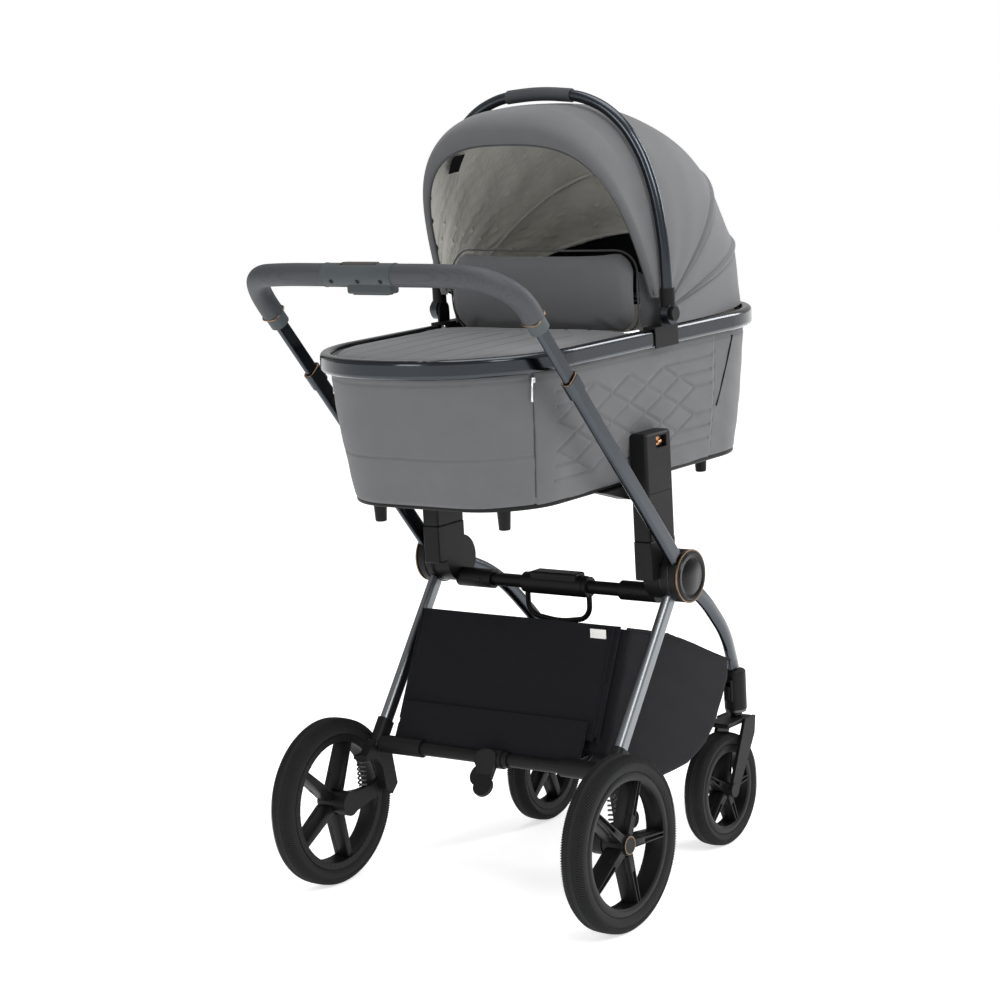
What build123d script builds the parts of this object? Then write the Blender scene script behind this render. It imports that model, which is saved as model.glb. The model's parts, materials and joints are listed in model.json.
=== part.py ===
"""A folding baby stroller with a lift-off carrycot: frame, wheels, push handle, basket, cot and hood.

Millimetres. +X is the stroller's right, +Y the direction of travel, +Z up. The origin is on the ground
under the middle of the object.
"""
from build123d import *
import os
from math import atan2, cos, degrees, radians, sin, tan

os.makedirs("parts", exist_ok=True)

# ---------------------------------------------------------------- driving dimensions
GAP = 0.4  # clearance between neighbouring pieces
RUN = 0.05  # radial clearance of a pin that turns in its bore

# wheels
REAR_R = 138.0  # outer radius of a rear tyre
REAR_TYRE_W = 40.0
REAR_TRACK = 568.0  # between the middles of the rear wheels
REAR_AXLE_Y = -250.0
FRONT_R = 96.0
FRONT_TYRE_W = 36.0
FRONT_TRACK = 362.0
CASTER_Y = 270.0  # upright axis of the front casters
CASTER_TRAIL = 58.0  # front axle behind the caster axis
REAR_BAND = 26.0  # height of the tyre's section
FRONT_BAND = 20.0
REAR_PHASE = 67.0
FRONT_PHASE = 77.0
SPOKES = 5
AXLE_R = 6.0

# fold hub
HUB_Y = 24.0
HUB_Z = 502.0
HUB_R = 42.0
CASTING_X = 194.0  # inner face of the hub casting and of the adapter post
CASTING_W = 32.0
HEAD_W = 14.4  # thickness of the two turning heads
COVER_W = 5.0
PIN_R = 8.0

# push handle
HANDLE_LEAN = 39.7  # from upright, towards the parent
LOWER_TUBE_L = 445.0  # from the hub axis to the telescope joint
UPPER_TUBE_L = 146.0  # from the telescope joint to the grip's end
UPPER_INSERT_L = 150.0  # upper tube held inside the lower tube
LOWER_TUBE_H = 29.0
LOWER_TUBE_W = 14.4
TUBE_WALL = 1.8
UPPER_WALL = 1.4
GRIP_R = 17.5
GRIP_RISE = 70.0  # grip's bar above its ends
GRIP_REACH = 84.8  # grip's bar behind its ends
GRIP_HALF_GAP = 65.4  # half the length that the moulded centre takes
BUTTON_L = 68.0
BUTTON_W = 16.0

# rear legs, axle mounts and brake
LEG_H = 26.0
LEG_W = 16.0
LEG_END = 330.0  # from the hub axis to the leg's lower end
PIVOT_Y = -162.0
PIVOT_Z = 150.0
ARM_W = 12.0
BAR_R = 11.0
BAR_DIST = 345.0  # brake bar's place along the leg
PEDAL_DROOP = 52.0  # the pedal's leaf below level
SPRING_R = 8.0
REAR_SPRING_Y = -212.0
REAR_SPRING_Z = (156.0, 203.0)

# front legs and casters
HOUSING_R = 19.0
HOUSING_Z = (222.0, 284.0)
CROSS_Z = 268.0
STEM_R = 8.0
TIP_R = 5.0  # the stem's lower end, on which the fork travels
FORK_GAP = 9.0  # crown above the tyre
CROWN_T = 8.0
BLADE_T = 6.0

# upper crossbar
CROSSBAR_DROP = 32.0  # below the hub axis
SADDLE_W = 112.0
LOOP_DROP = 53.0

# adapter posts
POST_L = 74.0
POST_TOP = 737.0
POST_FOOT = 566.0
POST_Y = -1.0

# basket
BASKET_HALF = 200.0
BASKET_WALL = 3.0
BASKET_PROFILE = [(-70, 430), (47, 400), (193, 330), (231, 315), (229, 281), (187, 226), (152, 190),
                  (93, 168), (14, 166), (-120, 196), (-158, 245)]  # (y, z) from the top rear corner
STRAP_X = (176.0, 188.0)  # tabs that tie the basket to the front legs
STRAP_Z = (298.0, 312.0)

# carrycot
COT_L = 870.0
COT_W = 437.0
COT_Y = 21.0
COT_CORNER_R = 203.0
RIM_Z = 881.0
RIM_H = 30.0
RIM_T = 18.0
BASE_Z = 655.0
BASE_L = 700.0
BASE_W = 366.0
BASE_CORNER_R = 112.0
TUB_WALL = 6.0
FOOT_H = 33.0
FOOT_X = 120.0
FOOT_Y = (-278.0, 288.0)
MATTRESS_H = 38.0
APRON_T = 9.0
FLAP_TOP = 1022.0
FLAP_T = 8.0
FLAP_CORNER_R = 46.0
FLAP_W = 372.0
FLAP_Y = 1.0

# hood
PIVOT_HOOD_Y = 45.0
PIVOT_HOOD_Z = 918.0
ARCH_HALF = 226.0  # carry handle, at the pivots
ARCH_RISE = 350.0
CARRY_R = 9.0
HOOD_HALF = 214.0
HOOD_RISE = 335.0
HOOD_STRETCH = 1.2  # the hood is longer than it is high
HOOD_WALL = 3.0
VISOR_ANGLE = -17.0  # from upright; negative leans towards the parent
HEM_ANGLE = 93.7
MID_BOW_ANGLE = 50.0
REAR_BOW_ANGLE = 73.0
BOW_R = 2.5
HUB_CUT_R = 26.0
CARRY_GRIP_L = 124.0
SLEEVE_T = 2.5  # wall of the sleeves on the cot's rim
SLEEVE_L = 66.0
EYE_R = 17.0
HOOD_PIN_R = 5.0
BUTTON_R = 11.0
PRESS = 2.0  # travel of the hood's buttons

# ---------------------------------------------------------------- derived places
REAR_X = REAR_TRACK / 2
FRONT_X = FRONT_TRACK / 2
FRONT_AXLE_Y = CASTER_Y - CASTER_TRAIL
CASTING_END = CASTING_X + CASTING_W
LEG_HEAD_X = CASTING_END + GAP
HANDLE_HEAD_X = LEG_HEAD_X + HEAD_W + GAP
COVER_X = HANDLE_HEAD_X + HEAD_W + GAP
LEG_X = LEG_HEAD_X + LEG_W / 2 - 2.0
HANDLE_X = HANDLE_HEAD_X + LOWER_TUBE_W / 2
CROSSBAR_Z = HUB_Z - CROSSBAR_DROP
LEG_ANGLE = degrees(atan2(REAR_R - HUB_Z, REAR_AXLE_Y - HUB_Y))  # in the YZ plane, from +Y
HANDLE_ANGLE = 90.0 + HANDLE_LEAN
UPPER_H = LOWER_TUBE_H - 2 * TUBE_WALL - 0.6
UPPER_W = LOWER_TUBE_W - 2 * TUBE_WALL - 0.6
ARM_X = REAR_X - REAR_TYRE_W / 2 - ARM_W - 10.0
CROWN_Z = 2 * FRONT_R + FORK_GAP
RIM_HALF_T = RIM_T / 2
REAR_HUB = (REAR_X - REAR_TYRE_W / 2 - 1.6, REAR_X + REAR_TYRE_W / 2 - 4)


# ---------------------------------------------------------------- helpers
def along(angle, distance, y0=HUB_Y, z0=HUB_Z):
    """The (y, z) point at a distance from the hub axis, at an angle from +Y in the YZ plane."""
    return y0 + distance * cos(radians(angle)), z0 + distance * sin(radians(angle))


def x_cylinder(x0, x1, y, z, r):
    """A solid cylinder along X."""
    return Pos((x0 + x1) / 2, y, z) * Rot(0, 90, 0) * Cylinder(r, x1 - x0)


def z_cylinder(x, y, z0, z1, r):
    return Pos(x, y, (z0 + z1) / 2) * Cylinder(r, z1 - z0)


def x_slab(x0, x1, points):
    """A plate along X whose outline is given by (y, z) points."""
    face = make_face(Polyline([Vector(x0, y, z) for y, z in points], close=True))
    return extrude(face, amount=x1 - x0, dir=(1, 0, 0))


def block(x0, x1, y0, y1, z0, z1, r=0.0):
    """A box between two corners, with rounded edges."""
    box = Pos((x0 + x1) / 2, (y0 + y1) / 2, (z0 + z1) / 2) * Box(x1 - x0, y1 - y0, z1 - z0)
    return fillet(box.edges(), r) if r else box


def pair(shape):
    """The piece and its mirror image on the stroller's left."""
    return [shape, mirror(shape, about=Plane.YZ)]


def smooth_path(points, share=0.92):
    """A path through rounded corners, each arc as large as its two runs allow."""
    vectors = [Vector(*p) for p in points]
    radii = []
    for a, b, c in zip(vectors, vectors[1:], vectors[2:]):
        first = (b - a).length if a is vectors[0] else (b - a).length / 2
        last = (c - b).length if c is vectors[-1] else (c - b).length / 2
        turn = radians((b - a).get_angle(c - b))
        radii.append(share * min(first, last) / tan(turn / 2))
    return FilletPolyline(vectors, radius=radii)


def tube(path, section_r, hole_r=0.0):
    """A round tube or rod along a path."""
    plane = Plane(origin=path @ 0, z_dir=path % 0)
    section = plane * Circle(section_r)
    if hole_r:
        section -= plane * Circle(hole_r)
    return sweep(section, path=path)


def oval_bar(x, angle, start, end, height, width, wall=0.0):
    """A straight oval tube in the YZ plane, running out from the hub axis."""
    y, z = along(angle, start)
    plane = Plane(origin=(x, y, z), x_dir=(1, 0, 0), z_dir=(0, cos(radians(angle)), sin(radians(angle))))
    section = plane * SlotOverall(height, width, rotation=90)
    if wall:
        section -= plane * SlotOverall(height - 2 * wall, width - 2 * wall, rotation=90)
    return extrude(section, amount=end - start)


def arch_points(half, rise, angle, foot, stretch=1.0, power=2.8, count=6, lowest=12.0):
    """Points of a hood arch whose feet stand near the hood's pivots, tilted by an angle from upright."""
    half_arch = []
    for i in range(count + 1):
        t = radians(90 - (90 - lowest) * i / count)
        half_arch.append((half * cos(t) ** (2 / power), rise * sin(t) ** (2 / power)))
    half_arch.append((half, foot))
    flat = [(-x, r) for x, r in reversed(half_arch[1:])] + half_arch
    tilt_y, tilt_z = sin(radians(angle)) * stretch, cos(radians(angle))
    return [(x, PIVOT_HOOD_Y + r * tilt_y, PIVOT_HOOD_Z + r * tilt_z) for x, r in flat]


# ---------------------------------------------------------------- chassis
def hub_castings():
    """Black castings that join front leg, crossbar, post and fold pivot, with the pivot pin cast in."""
    drum = x_cylinder(CASTING_X, CASTING_END, HUB_Y, HUB_Z, HUB_R - 3)
    foot = block(CASTING_X, CASTING_END, POST_Y - POST_L / 2, POST_Y + POST_L / 2, HUB_Z, POST_FOOT - GAP, 3)
    socket = x_cylinder(128, CASTING_X + 4, HUB_Y, CROSSBAR_Z, BAR_R + 5)
    pin = x_cylinder(CASTING_END - 1, COVER_X, HUB_Y, HUB_Z, PIN_R)
    bore = x_cylinder(120, CASTING_X - 6, HUB_Y, CROSSBAR_Z, BAR_R + 0.1)
    return pair(drum + foot + socket + pin - bore)


def adapter_posts():
    """Upright posts that carry the cot, with a catch recess at the outer top."""
    y0, y1 = POST_Y - POST_L / 2, POST_Y + POST_L / 2
    post = block(CASTING_X, CASTING_END, y0, y1, POST_FOOT, POST_TOP)
    post = fillet(post.edges().filter_by(Axis.Z), 5)
    post = fillet(post.edges().group_by(Axis.Z)[-1], 6)
    recess = block(CASTING_END - 9, CASTING_END + 5, y0 + 30, y1 - 14, POST_TOP - 26, POST_TOP - 7)
    seam = block(CASTING_END - 0.8, CASTING_END + 5, y0 - 5, y1 + 5, POST_FOOT + 74, POST_FOOT + 75.5)
    return pair(post - recess - seam)


def adapter_catches():
    """Sprung copper tongues in the recesses of the posts."""
    y0 = POST_Y - POST_L / 2 + 33
    z0 = POST_TOP - 26
    back = block(CASTING_END - 9, CASTING_END - 7.5, y0, y0 + 22, z0 + 3, z0 + 16)
    tongue = block(CASTING_END - 7.5, CASTING_END - 2, y0 + 6, y0 + 16, z0 + 7, z0 + 11, 1)
    return pair(back + tongue)


def upper_crossbar():
    return x_cylinder(-(CASTING_X - 6.2), CASTING_X - 6.2, HUB_Y, CROSSBAR_Z, BAR_R)


def crossbar_saddle():
    """Moulded sleeve on the middle of the crossbar, with ears for the fold loop."""
    body = x_cylinder(-SADDLE_W / 2, SADDLE_W / 2, HUB_Y, CROSSBAR_Z, BAR_R + 7)
    top = block(-SADDLE_W / 2 + 10, SADDLE_W / 2 - 10, HUB_Y - 15, HUB_Y + 15, CROSSBAR_Z, CROSSBAR_Z + 22, 4)
    bore = x_cylinder(-SADDLE_W, SADDLE_W, HUB_Y, CROSSBAR_Z, BAR_R + 0.1)
    return body + top - bore


def fold_loop():
    """Loop handle that hangs under the crossbar and is pulled to fold the frame."""
    inner = SADDLE_W / 2 + GAP
    ears = []
    for side in (-1, 1):
        x0, x1 = sorted((side * inner, side * (inner + 8)))
        ears.append(x_cylinder(x0, x1, HUB_Y, CROSSBAR_Z, BAR_R + 6))
    x = inner + 5
    bottom = CROSSBAR_Z - LOOP_DROP
    path = smooth_path([(-x, HUB_Y, CROSSBAR_Z - 14), (-x, HUB_Y, bottom), (0, HUB_Y, bottom - 9),
                        (x, HUB_Y, bottom), (x, HUB_Y, CROSSBAR_Z - 14)], 0.7)
    bore = x_cylinder(-x - 9, x + 9, HUB_Y, CROSSBAR_Z, BAR_R + RUN)
    return tube(path, 4.5) + ears[0] + ears[1] - bore


def hub_covers():
    """Round outer caps of the fold hubs."""
    cap = x_cylinder(COVER_X, COVER_X + COVER_W, HUB_Y, HUB_Z, HUB_R - 1)
    return pair(fillet(cap.edges().group_by(Axis.X)[-1], 1.5))


def front_leg_path():
    start = along(-25, HUB_R - 8)
    return smooth_path([(206, *start), (203, 135, 452), (196, 222, 365), (FRONT_X, CASTER_Y - 4, 300),
                        (FRONT_X, CASTER_Y, HOUSING_Z[1] - 2)])


def front_leg_bar(extra=0.0):
    """The front leg's oval bar, or the same bar made fatter all round."""
    path = front_leg_path()
    plane = Plane(origin=path @ 0, x_dir=(1, 0, 0), z_dir=path % 0)
    return sweep(plane * Ellipse(8.5 + extra, 13 + extra), path=path)


def front_legs():
    """Oval tubes that curve down from the hub to the caster housing."""
    leg = front_leg_bar()
    leg -= x_cylinder(CASTING_X - 20, CASTING_END + 9, HUB_Y, HUB_Z, HUB_R - 3 + 0.1)
    leg -= z_cylinder(FRONT_X, CASTER_Y, HOUSING_Z[0], HOUSING_Z[1] + 6 + 0.1, HOUSING_R + 0.1)
    return pair(leg)


def caster_housings():
    """Upright sockets of the casters."""
    body = z_cylinder(FRONT_X, CASTER_Y, HOUSING_Z[0], HOUSING_Z[1] + 6, HOUSING_R)
    body = fillet(body.edges().group_by(Axis.Z)[-1], 5)
    lock_seat = block(FRONT_X - 8, FRONT_X + 8, CASTER_Y - HOUSING_R - 6, CASTER_Y, 238, 276, 2)
    bore = z_cylinder(FRONT_X, CASTER_Y, HOUSING_Z[0] - 1, HOUSING_Z[1] - 12, STEM_R + RUN)
    slot = block(FRONT_X - 5.4, FRONT_X + 5.4, CASTER_Y - HOUSING_R - 7, CASTER_Y - HOUSING_R + 1.6, 242, 272)
    return pair(body + lock_seat - bore - slot)


def swivel_lock():
    """Slider on the caster housing that locks the swivel."""
    y1 = CASTER_Y - HOUSING_R + 1.2
    return block(FRONT_X - 5, FRONT_X + 5, y1 - 10, y1, 242.5, 264, 1)


def front_cross_tube():
    """Tube between the caster housings, ahead of the basket."""
    tube_x = FRONT_X - HOUSING_R + 2
    bar = x_cylinder(-tube_x, tube_x, CASTER_Y, CROSS_Z, 7)
    housings = [z_cylinder(side * FRONT_X, CASTER_Y, *HOUSING_Z, HOUSING_R + 0.1) for side in (-1, 1)]
    return bar - housings[0] - housings[1]


def basket():
    """Soft basket between the legs, open at the top."""
    outer = x_slab(-BASKET_HALF, BASKET_HALF, BASKET_PROFILE)
    outer = fillet(outer.edges().filter_by(Axis.X).group_by(Axis.Z)[0], 12)
    wall = BASKET_WALL
    top_y, top_z = BASKET_PROFILE[0]
    foot_y, foot_z = BASKET_PROFILE[-1]
    lean = (top_y - foot_y) / (top_z - foot_z)
    above = top_z + 40
    front = [(y - wall, z) for y, z in BASKET_PROFILE[3:5]]
    curve = [(y - wall, z + wall) for y, z in BASKET_PROFILE[5:7]]
    floor = [(y, z + wall) for y, z in BASKET_PROFILE[7:9]]
    heel_y, heel_z = BASKET_PROFILE[9]
    rear = foot_y + 1.2 * wall
    inner = [(rear + lean * (above - foot_z), above), (front[0][0], above), front[1], *curve, *floor,
             (heel_y + wall, heel_z + wall), (rear, foot_z)]
    cavity = x_slab(-BASKET_HALF + wall, BASKET_HALF - wall, inner)
    strap = block(*STRAP_X, BASKET_PROFILE[3][0] - 1, CASTER_Y - 4, *STRAP_Z) - front_leg_bar(0.3)
    return outer - cavity + pair(strap.solids().sort_by(Axis.Y)[0])


# ---------------------------------------------------------------- rear frame
def rear_legs():
    """Oval legs with their turning heads on the fold hub."""
    head = x_cylinder(LEG_HEAD_X, LEG_HEAD_X + HEAD_W, HUB_Y, HUB_Z, HUB_R - 1)
    leg = oval_bar(LEG_X, LEG_ANGLE, HUB_R + 2, LEG_END, LEG_H, LEG_W, TUBE_WALL)
    neck = oval_bar(LEG_HEAD_X + HEAD_W / 2, LEG_ANGLE, 20, HUB_R + 14, LEG_H - 2 * TUBE_WALL, 12)
    bore = x_cylinder(LEG_HEAD_X - 1, LEG_HEAD_X + HEAD_W + 1, HUB_Y, HUB_Z, PIN_R + RUN)
    return pair(head + leg + neck - bore)


def axle_mounts():
    """Castings at the legs' feet: sleeve, brake bar seat, arm pivot and spring seat."""
    x0, x1 = LEG_X - LEG_W / 2 - 3, ARM_X - GAP
    sleeve = oval_bar(LEG_X, LEG_ANGLE, LEG_END - 26, LEG_END + 24, LEG_H + 7, LEG_W + 6)
    hole = oval_bar(LEG_X, LEG_ANGLE, LEG_END - 30, LEG_END + 0.4, LEG_H + 0.6, LEG_W + 0.6)
    bar_y, bar_z = along(LEG_ANGLE, BAR_DIST)
    web = x_slab(x0 + 4, x1, [(bar_y + 22, bar_z + 4), (bar_y - 16, bar_z + 8), (REAR_SPRING_Y - 12, 214),
                              (REAR_SPRING_Y - 12, 205), (REAR_SPRING_Y + 12, 205), (-184, 186),
                              (PIVOT_Y - 15, PIVOT_Z - 4), (PIVOT_Y, PIVOT_Z - 15), (PIVOT_Y + 15, PIVOT_Z)])
    shelf = block(x0 + 4, ARM_X + ARM_W, REAR_SPRING_Y - 12, REAR_SPRING_Y + 12, 205, 213, 2)
    pin = x_cylinder(x1 - 2, ARM_X + ARM_W - 1, PIVOT_Y, PIVOT_Z, AXLE_R)
    bar_bore = x_cylinder(x0 - 5, LEG_X, bar_y, bar_z, BAR_R + 0.1)
    return pair(sleeve + web + shelf + pin - hole - bar_bore)


def rear_crossbar():
    """Brake bar between the axle mounts, with thicker sleeves at its ends and round the pedal."""
    y, z = along(LEG_ANGLE, BAR_DIST)
    bar = x_cylinder(-LEG_X + 1, LEG_X - 1, y, z, BAR_R)
    sleeve = x_cylinder(138, LEG_X - LEG_W / 2 - 3.2, y, z, BAR_R + 4)
    stop = x_cylinder(26, 36, y, z, BAR_R + 3)
    return bar + sleeve + mirror(sleeve, about=Plane.YZ) + stop


def brake_pedal():
    """Leaf-shaped foot pedal that hangs from the brake bar."""
    y, z = along(LEG_ANGLE, BAR_DIST)
    ring = x_cylinder(-14, 25.4, y, z, BAR_R + 5)
    pad_t = 7
    lobes = Pos(-8, -32, 0) * Cylinder(20, pad_t) + Pos(2, -50, 0) * Cylinder(17, pad_t)
    leaf = lobes + Pos(-2, -22, 0) * Box(30, 28, pad_t)
    leaf = Pos(0, y, z) * Rot(PEDAL_DROOP, 0, 0) * leaf
    return ring + leaf - x_cylinder(-40, 40, y, z, BAR_R + RUN)


def suspension_arm():
    """Swing arm from the mount's pivot to the wheel, with the axle stub."""
    dy, dz = REAR_AXLE_Y - PIVOT_Y, REAR_R - PIVOT_Z
    x0, x1 = ARM_X, ARM_X + ARM_W
    plate = x_slab(x0, x1, [(PIVOT_Y + 9, PIVOT_Z - 9), (PIVOT_Y + 3, PIVOT_Z + 12),
                            (REAR_SPRING_Y + 14, REAR_SPRING_Z[0] - GAP),
                            (REAR_SPRING_Y - 13, REAR_SPRING_Z[0] - GAP),
                            (REAR_AXLE_Y - 6, REAR_R + 15), (REAR_AXLE_Y, REAR_R - 18)])
    eye = x_cylinder(x0, x1, PIVOT_Y, PIVOT_Z, 14)
    boss = x_cylinder(x0, REAR_HUB[0] - GAP, REAR_AXLE_Y, REAR_R, 20)
    stub = x_cylinder(x1, REAR_HUB[1] - 1, REAR_AXLE_Y, REAR_R, AXLE_R)
    bore = x_cylinder(x0 - 1, x1 - 0.6, PIVOT_Y, PIVOT_Z, AXLE_R + RUN)
    return plate + eye + boss + stub - bore


def coil(x, y, z0, z1, radius, wire=1.5, turns=6):
    """A round-wire compression spring."""
    height = z1 - z0 - 2 * wire
    helix = Pos(x, y, z0 + wire) * Helix(pitch=height / turns, height=height, radius=radius)
    plane = Plane(origin=helix @ 0, z_dir=helix % 0)
    return sweep(plane * Circle(wire), path=helix)


def rear_spring():
    return coil(ARM_X + ARM_W / 2, REAR_SPRING_Y, REAR_SPRING_Z[0], REAR_SPRING_Z[1] + 1.6, SPRING_R - 1.5)


# ---------------------------------------------------------------- wheels
def tyre(x, y, radius, width, band):
    """A soft tyre with a crowned tread and a centre groove."""
    inner = radius - band
    half = width / 2
    with_groove = [(inner, -half + 3), (inner, half - 3), (inner + 9, half), (radius - 9, half - 1),
                   (radius - 2, half - 8), (radius, half - 15), (radius, 2), (radius - 2, 1),
                   (radius - 2, -1),
                   (radius, -2), (radius, -half + 15), (radius - 2, -half + 8), (radius - 9, -half + 1),
                   (inner + 9, -half)]
    face = make_face(Polyline([Vector(a, 0, r) for r, a in with_groove], close=True))
    return Pos(x, y, radius) * revolve(face, Axis.X)


def wheel_rim(x, y, radius, width, band, hub_r, hub_x, phase, pin_r=AXLE_R):
    """Moulded rim with tapering spokes that widen towards the inner face."""
    seat = radius - band - 0.3
    ring_r = seat - 13
    half = width / 2 - 3
    ring = x_cylinder(x - half, x + half, y, radius, seat)
    ring -= x_cylinder(x - half - 1, x + half + 1, y, radius, ring_r)
    hub = x_cylinder(hub_x[0], hub_x[1], y, radius, hub_r)
    rim = ring + hub
    for k in range(SPOKES):
        turn = phase + 360 * k / SPOKES
        deep = Pos(x, y, radius) * Rot(turn, 0, 0) * Pos(-2, (hub_r + ring_r) / 2, 0)
        wide = deep * Box(2 * half - 12, ring_r - hub_r + 8, 15)
        narrow = deep * Pos(half - 6, 0, 0) * Box(8, ring_r - hub_r + 8, 8)
        rim += wide + narrow
    return rim - x_cylinder(x - 60, x + 60, y, radius, pin_r + RUN)


def rear_hub_cap():
    """Snap cap that covers the end of the rear axle."""
    cap = x_cylinder(REAR_HUB[1], REAR_HUB[1] + 3.6, REAR_AXLE_Y, REAR_R, 15)
    return fillet(cap.edges().group_by(Axis.X)[-1], 1)


# ---------------------------------------------------------------- casters
def caster_stem():
    """Swivel post of the caster, with the collar that turns under the housing."""
    stem = z_cylinder(FRONT_X, CASTER_Y, HOUSING_Z[0] - 4.5, HOUSING_Z[1] - 14, STEM_R)
    collar = z_cylinder(FRONT_X, CASTER_Y, HOUSING_Z[0] - 4.5, HOUSING_Z[0] - GAP, HOUSING_R - 1)
    tip = z_cylinder(FRONT_X, CASTER_Y, CROWN_Z + CROWN_T - 6, HOUSING_Z[0] - 4, TIP_R)
    return stem + collar + tip


def front_spring():
    """Short spring between the collar and the fork crown."""
    return coil(FRONT_X, CASTER_Y, CROWN_Z + CROWN_T, HOUSING_Z[0] - 4.6, 9.5, 1.2, 3)


def front_fork():
    """Fork with a crown over the tyre, two blades and the front axle."""
    half = FRONT_TYRE_W / 2 + 4
    y0, y1 = CASTER_Y - 62, CASTER_Y + 17
    fork = block(FRONT_X - half, FRONT_X + half, y0, y1, CROWN_Z, CROWN_Z + CROWN_T, 3)
    for side in (-1, 1):
        x0, x1 = sorted((FRONT_X + side * half, FRONT_X + side * (half + BLADE_T)))
        fork += x_slab(x0, x1, [(CASTER_Y - 16, CROWN_Z + CROWN_T), (y1, CROWN_Z + CROWN_T),
                                (y1 - 5, CROWN_Z - 22), (FRONT_AXLE_Y + 11, FRONT_R - 6),
                                (FRONT_AXLE_Y - 9, FRONT_R + 6)])
        boss_x = (x0 - 1, x1) if side < 0 else (x0, x1 + 1)
        fork += x_cylinder(*boss_x, FRONT_AXLE_Y, FRONT_R, 12)
    axle = x_cylinder(FRONT_X - half - 2, FRONT_X + half + 2, FRONT_AXLE_Y, FRONT_R, AXLE_R)
    bore = z_cylinder(FRONT_X, CASTER_Y, CROWN_Z - 1, CROWN_Z + CROWN_T + 1, TIP_R + RUN)
    return fork + axle - bore


# ---------------------------------------------------------------- push handle
def handle_lower():
    """Lower handle tubes with their turning heads and the telescope sleeves."""
    head = x_cylinder(HANDLE_HEAD_X, HANDLE_HEAD_X + HEAD_W, HUB_Y, HUB_Z, HUB_R - 1)
    bar = oval_bar(HANDLE_X, HANDLE_ANGLE, HUB_R - 6, LOWER_TUBE_L, LOWER_TUBE_H, LOWER_TUBE_W)
    hollow = oval_bar(HANDLE_X, HANDLE_ANGLE, HUB_R + 20, LOWER_TUBE_L + 1, LOWER_TUBE_H - 2 * TUBE_WALL,
                      LOWER_TUBE_W - 2 * TUBE_WALL)
    bore = x_cylinder(HANDLE_HEAD_X - 1, HANDLE_HEAD_X + HEAD_W + 1, HUB_Y, HUB_Z, PIN_R + RUN)
    return pair(head + bar - hollow - bore)


def telescope_collars():
    """Sleeves at the top of the lower tubes."""
    outer = oval_bar(HANDLE_X, HANDLE_ANGLE, LOWER_TUBE_L - 14, LOWER_TUBE_L + 16, LOWER_TUBE_H + 5,
                     LOWER_TUBE_W + 5)
    inner = oval_bar(HANDLE_X, HANDLE_ANGLE, LOWER_TUBE_L - 15, LOWER_TUBE_L + 0.1, LOWER_TUBE_H + 0.2,
                     LOWER_TUBE_W + 0.2)
    throat = oval_bar(HANDLE_X, HANDLE_ANGLE, LOWER_TUBE_L - 1, LOWER_TUBE_L + 17, UPPER_H + 0.2,
                      UPPER_W + 0.2)
    return pair(outer - inner - throat)


def handle_upper_tubes():
    start, end = LOWER_TUBE_L - UPPER_INSERT_L, LOWER_TUBE_L + UPPER_TUBE_L + 8
    return pair(oval_bar(HANDLE_X, HANDLE_ANGLE, start, end, UPPER_H, UPPER_W, UPPER_WALL))


def grip_collars():
    """Rings between the tubes and the grip."""
    end = LOWER_TUBE_L + UPPER_TUBE_L
    ring = oval_bar(HANDLE_X, HANDLE_ANGLE, end - 22, end, 2 * GRIP_R - 3, 2 * GRIP_R - 5)
    hole = oval_bar(HANDLE_X, HANDLE_ANGLE, end - 23, end + 1, UPPER_H + 0.2, UPPER_W + 0.2)
    return pair(ring - hole)


def grip_points():
    """Corners of the grip's path, from the right end to the left."""
    end = LOWER_TUBE_L + UPPER_TUBE_L
    y, z = along(HANDLE_ANGLE, end + GAP)
    y1, z1 = along(HANDLE_ANGLE, end + 46)
    back, top = y - GRIP_REACH, z + GRIP_RISE
    half = [(HANDLE_X, y, z), (HANDLE_X, y1, z1), (HANDLE_X - 34, back + 12, top - 4),
            (HANDLE_X - 105, back, top)]
    return half + [(-x, py, pz) for x, py, pz in reversed(half)]


def handle_grip():
    """Padded U-shaped grip."""
    grip = tube(smooth_path(grip_points(), 0.95), GRIP_R)
    end = LOWER_TUBE_L + UPPER_TUBE_L
    socket = oval_bar(HANDLE_X, HANDLE_ANGLE, end - 2, end + 8.4, UPPER_H + 0.3, UPPER_W + 0.3)
    grip -= socket + mirror(socket, about=Plane.YZ)
    return grip - block(-GRIP_HALF_GAP, GRIP_HALF_GAP, *span_y(), *span_z())


def span_y():
    y = grip_points()[3][1]
    return y - 30, y + 30


def span_z():
    z = grip_points()[3][2]
    return z - 40, z + 40


def handle_centre():
    """Moulded middle of the grip, with seats for the button and the trigger."""
    _, y, z = grip_points()[3]
    body = x_cylinder(-65, 65, y, z, GRIP_R + 0.6)
    belly = block(-20, 62, y - 12, y + 12, z - 27, z - 5, 4)
    seat_l, seat_w = BUTTON_L / 2 + GAP, BUTTON_W / 2 + GAP
    button_seat = block(-seat_l, seat_l, y - seat_w, y + seat_w, z + GRIP_R - 7, z + GRIP_R + 9)
    trigger_seat = block(-12.4, 54.4, y - 8.4, y + 20, z - 34, z - 16.6)
    return body + belly - button_seat - trigger_seat


def handle_button():
    """Pill-shaped fold button on top of the grip."""
    _, y, z = grip_points()[3]
    pill = Pos(0, y, z + GRIP_R - 1.6) * extrude(SlotOverall(BUTTON_L, BUTTON_W), amount=3.4)
    return fillet(pill.edges().group_by(Axis.Z)[-1], 1)


def handle_trigger():
    """Lever under the grip that frees the telescope."""
    _, y, z = grip_points()[3]
    return block(-12, 54, y - 8, y + 8, z - 29, z - 21, 2)


# ---------------------------------------------------------------- carrycot
def cot_outline(length, width, corner, z):
    return Pos(0, COT_Y, z) * RectangleRounded(width, length, corner)


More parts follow.
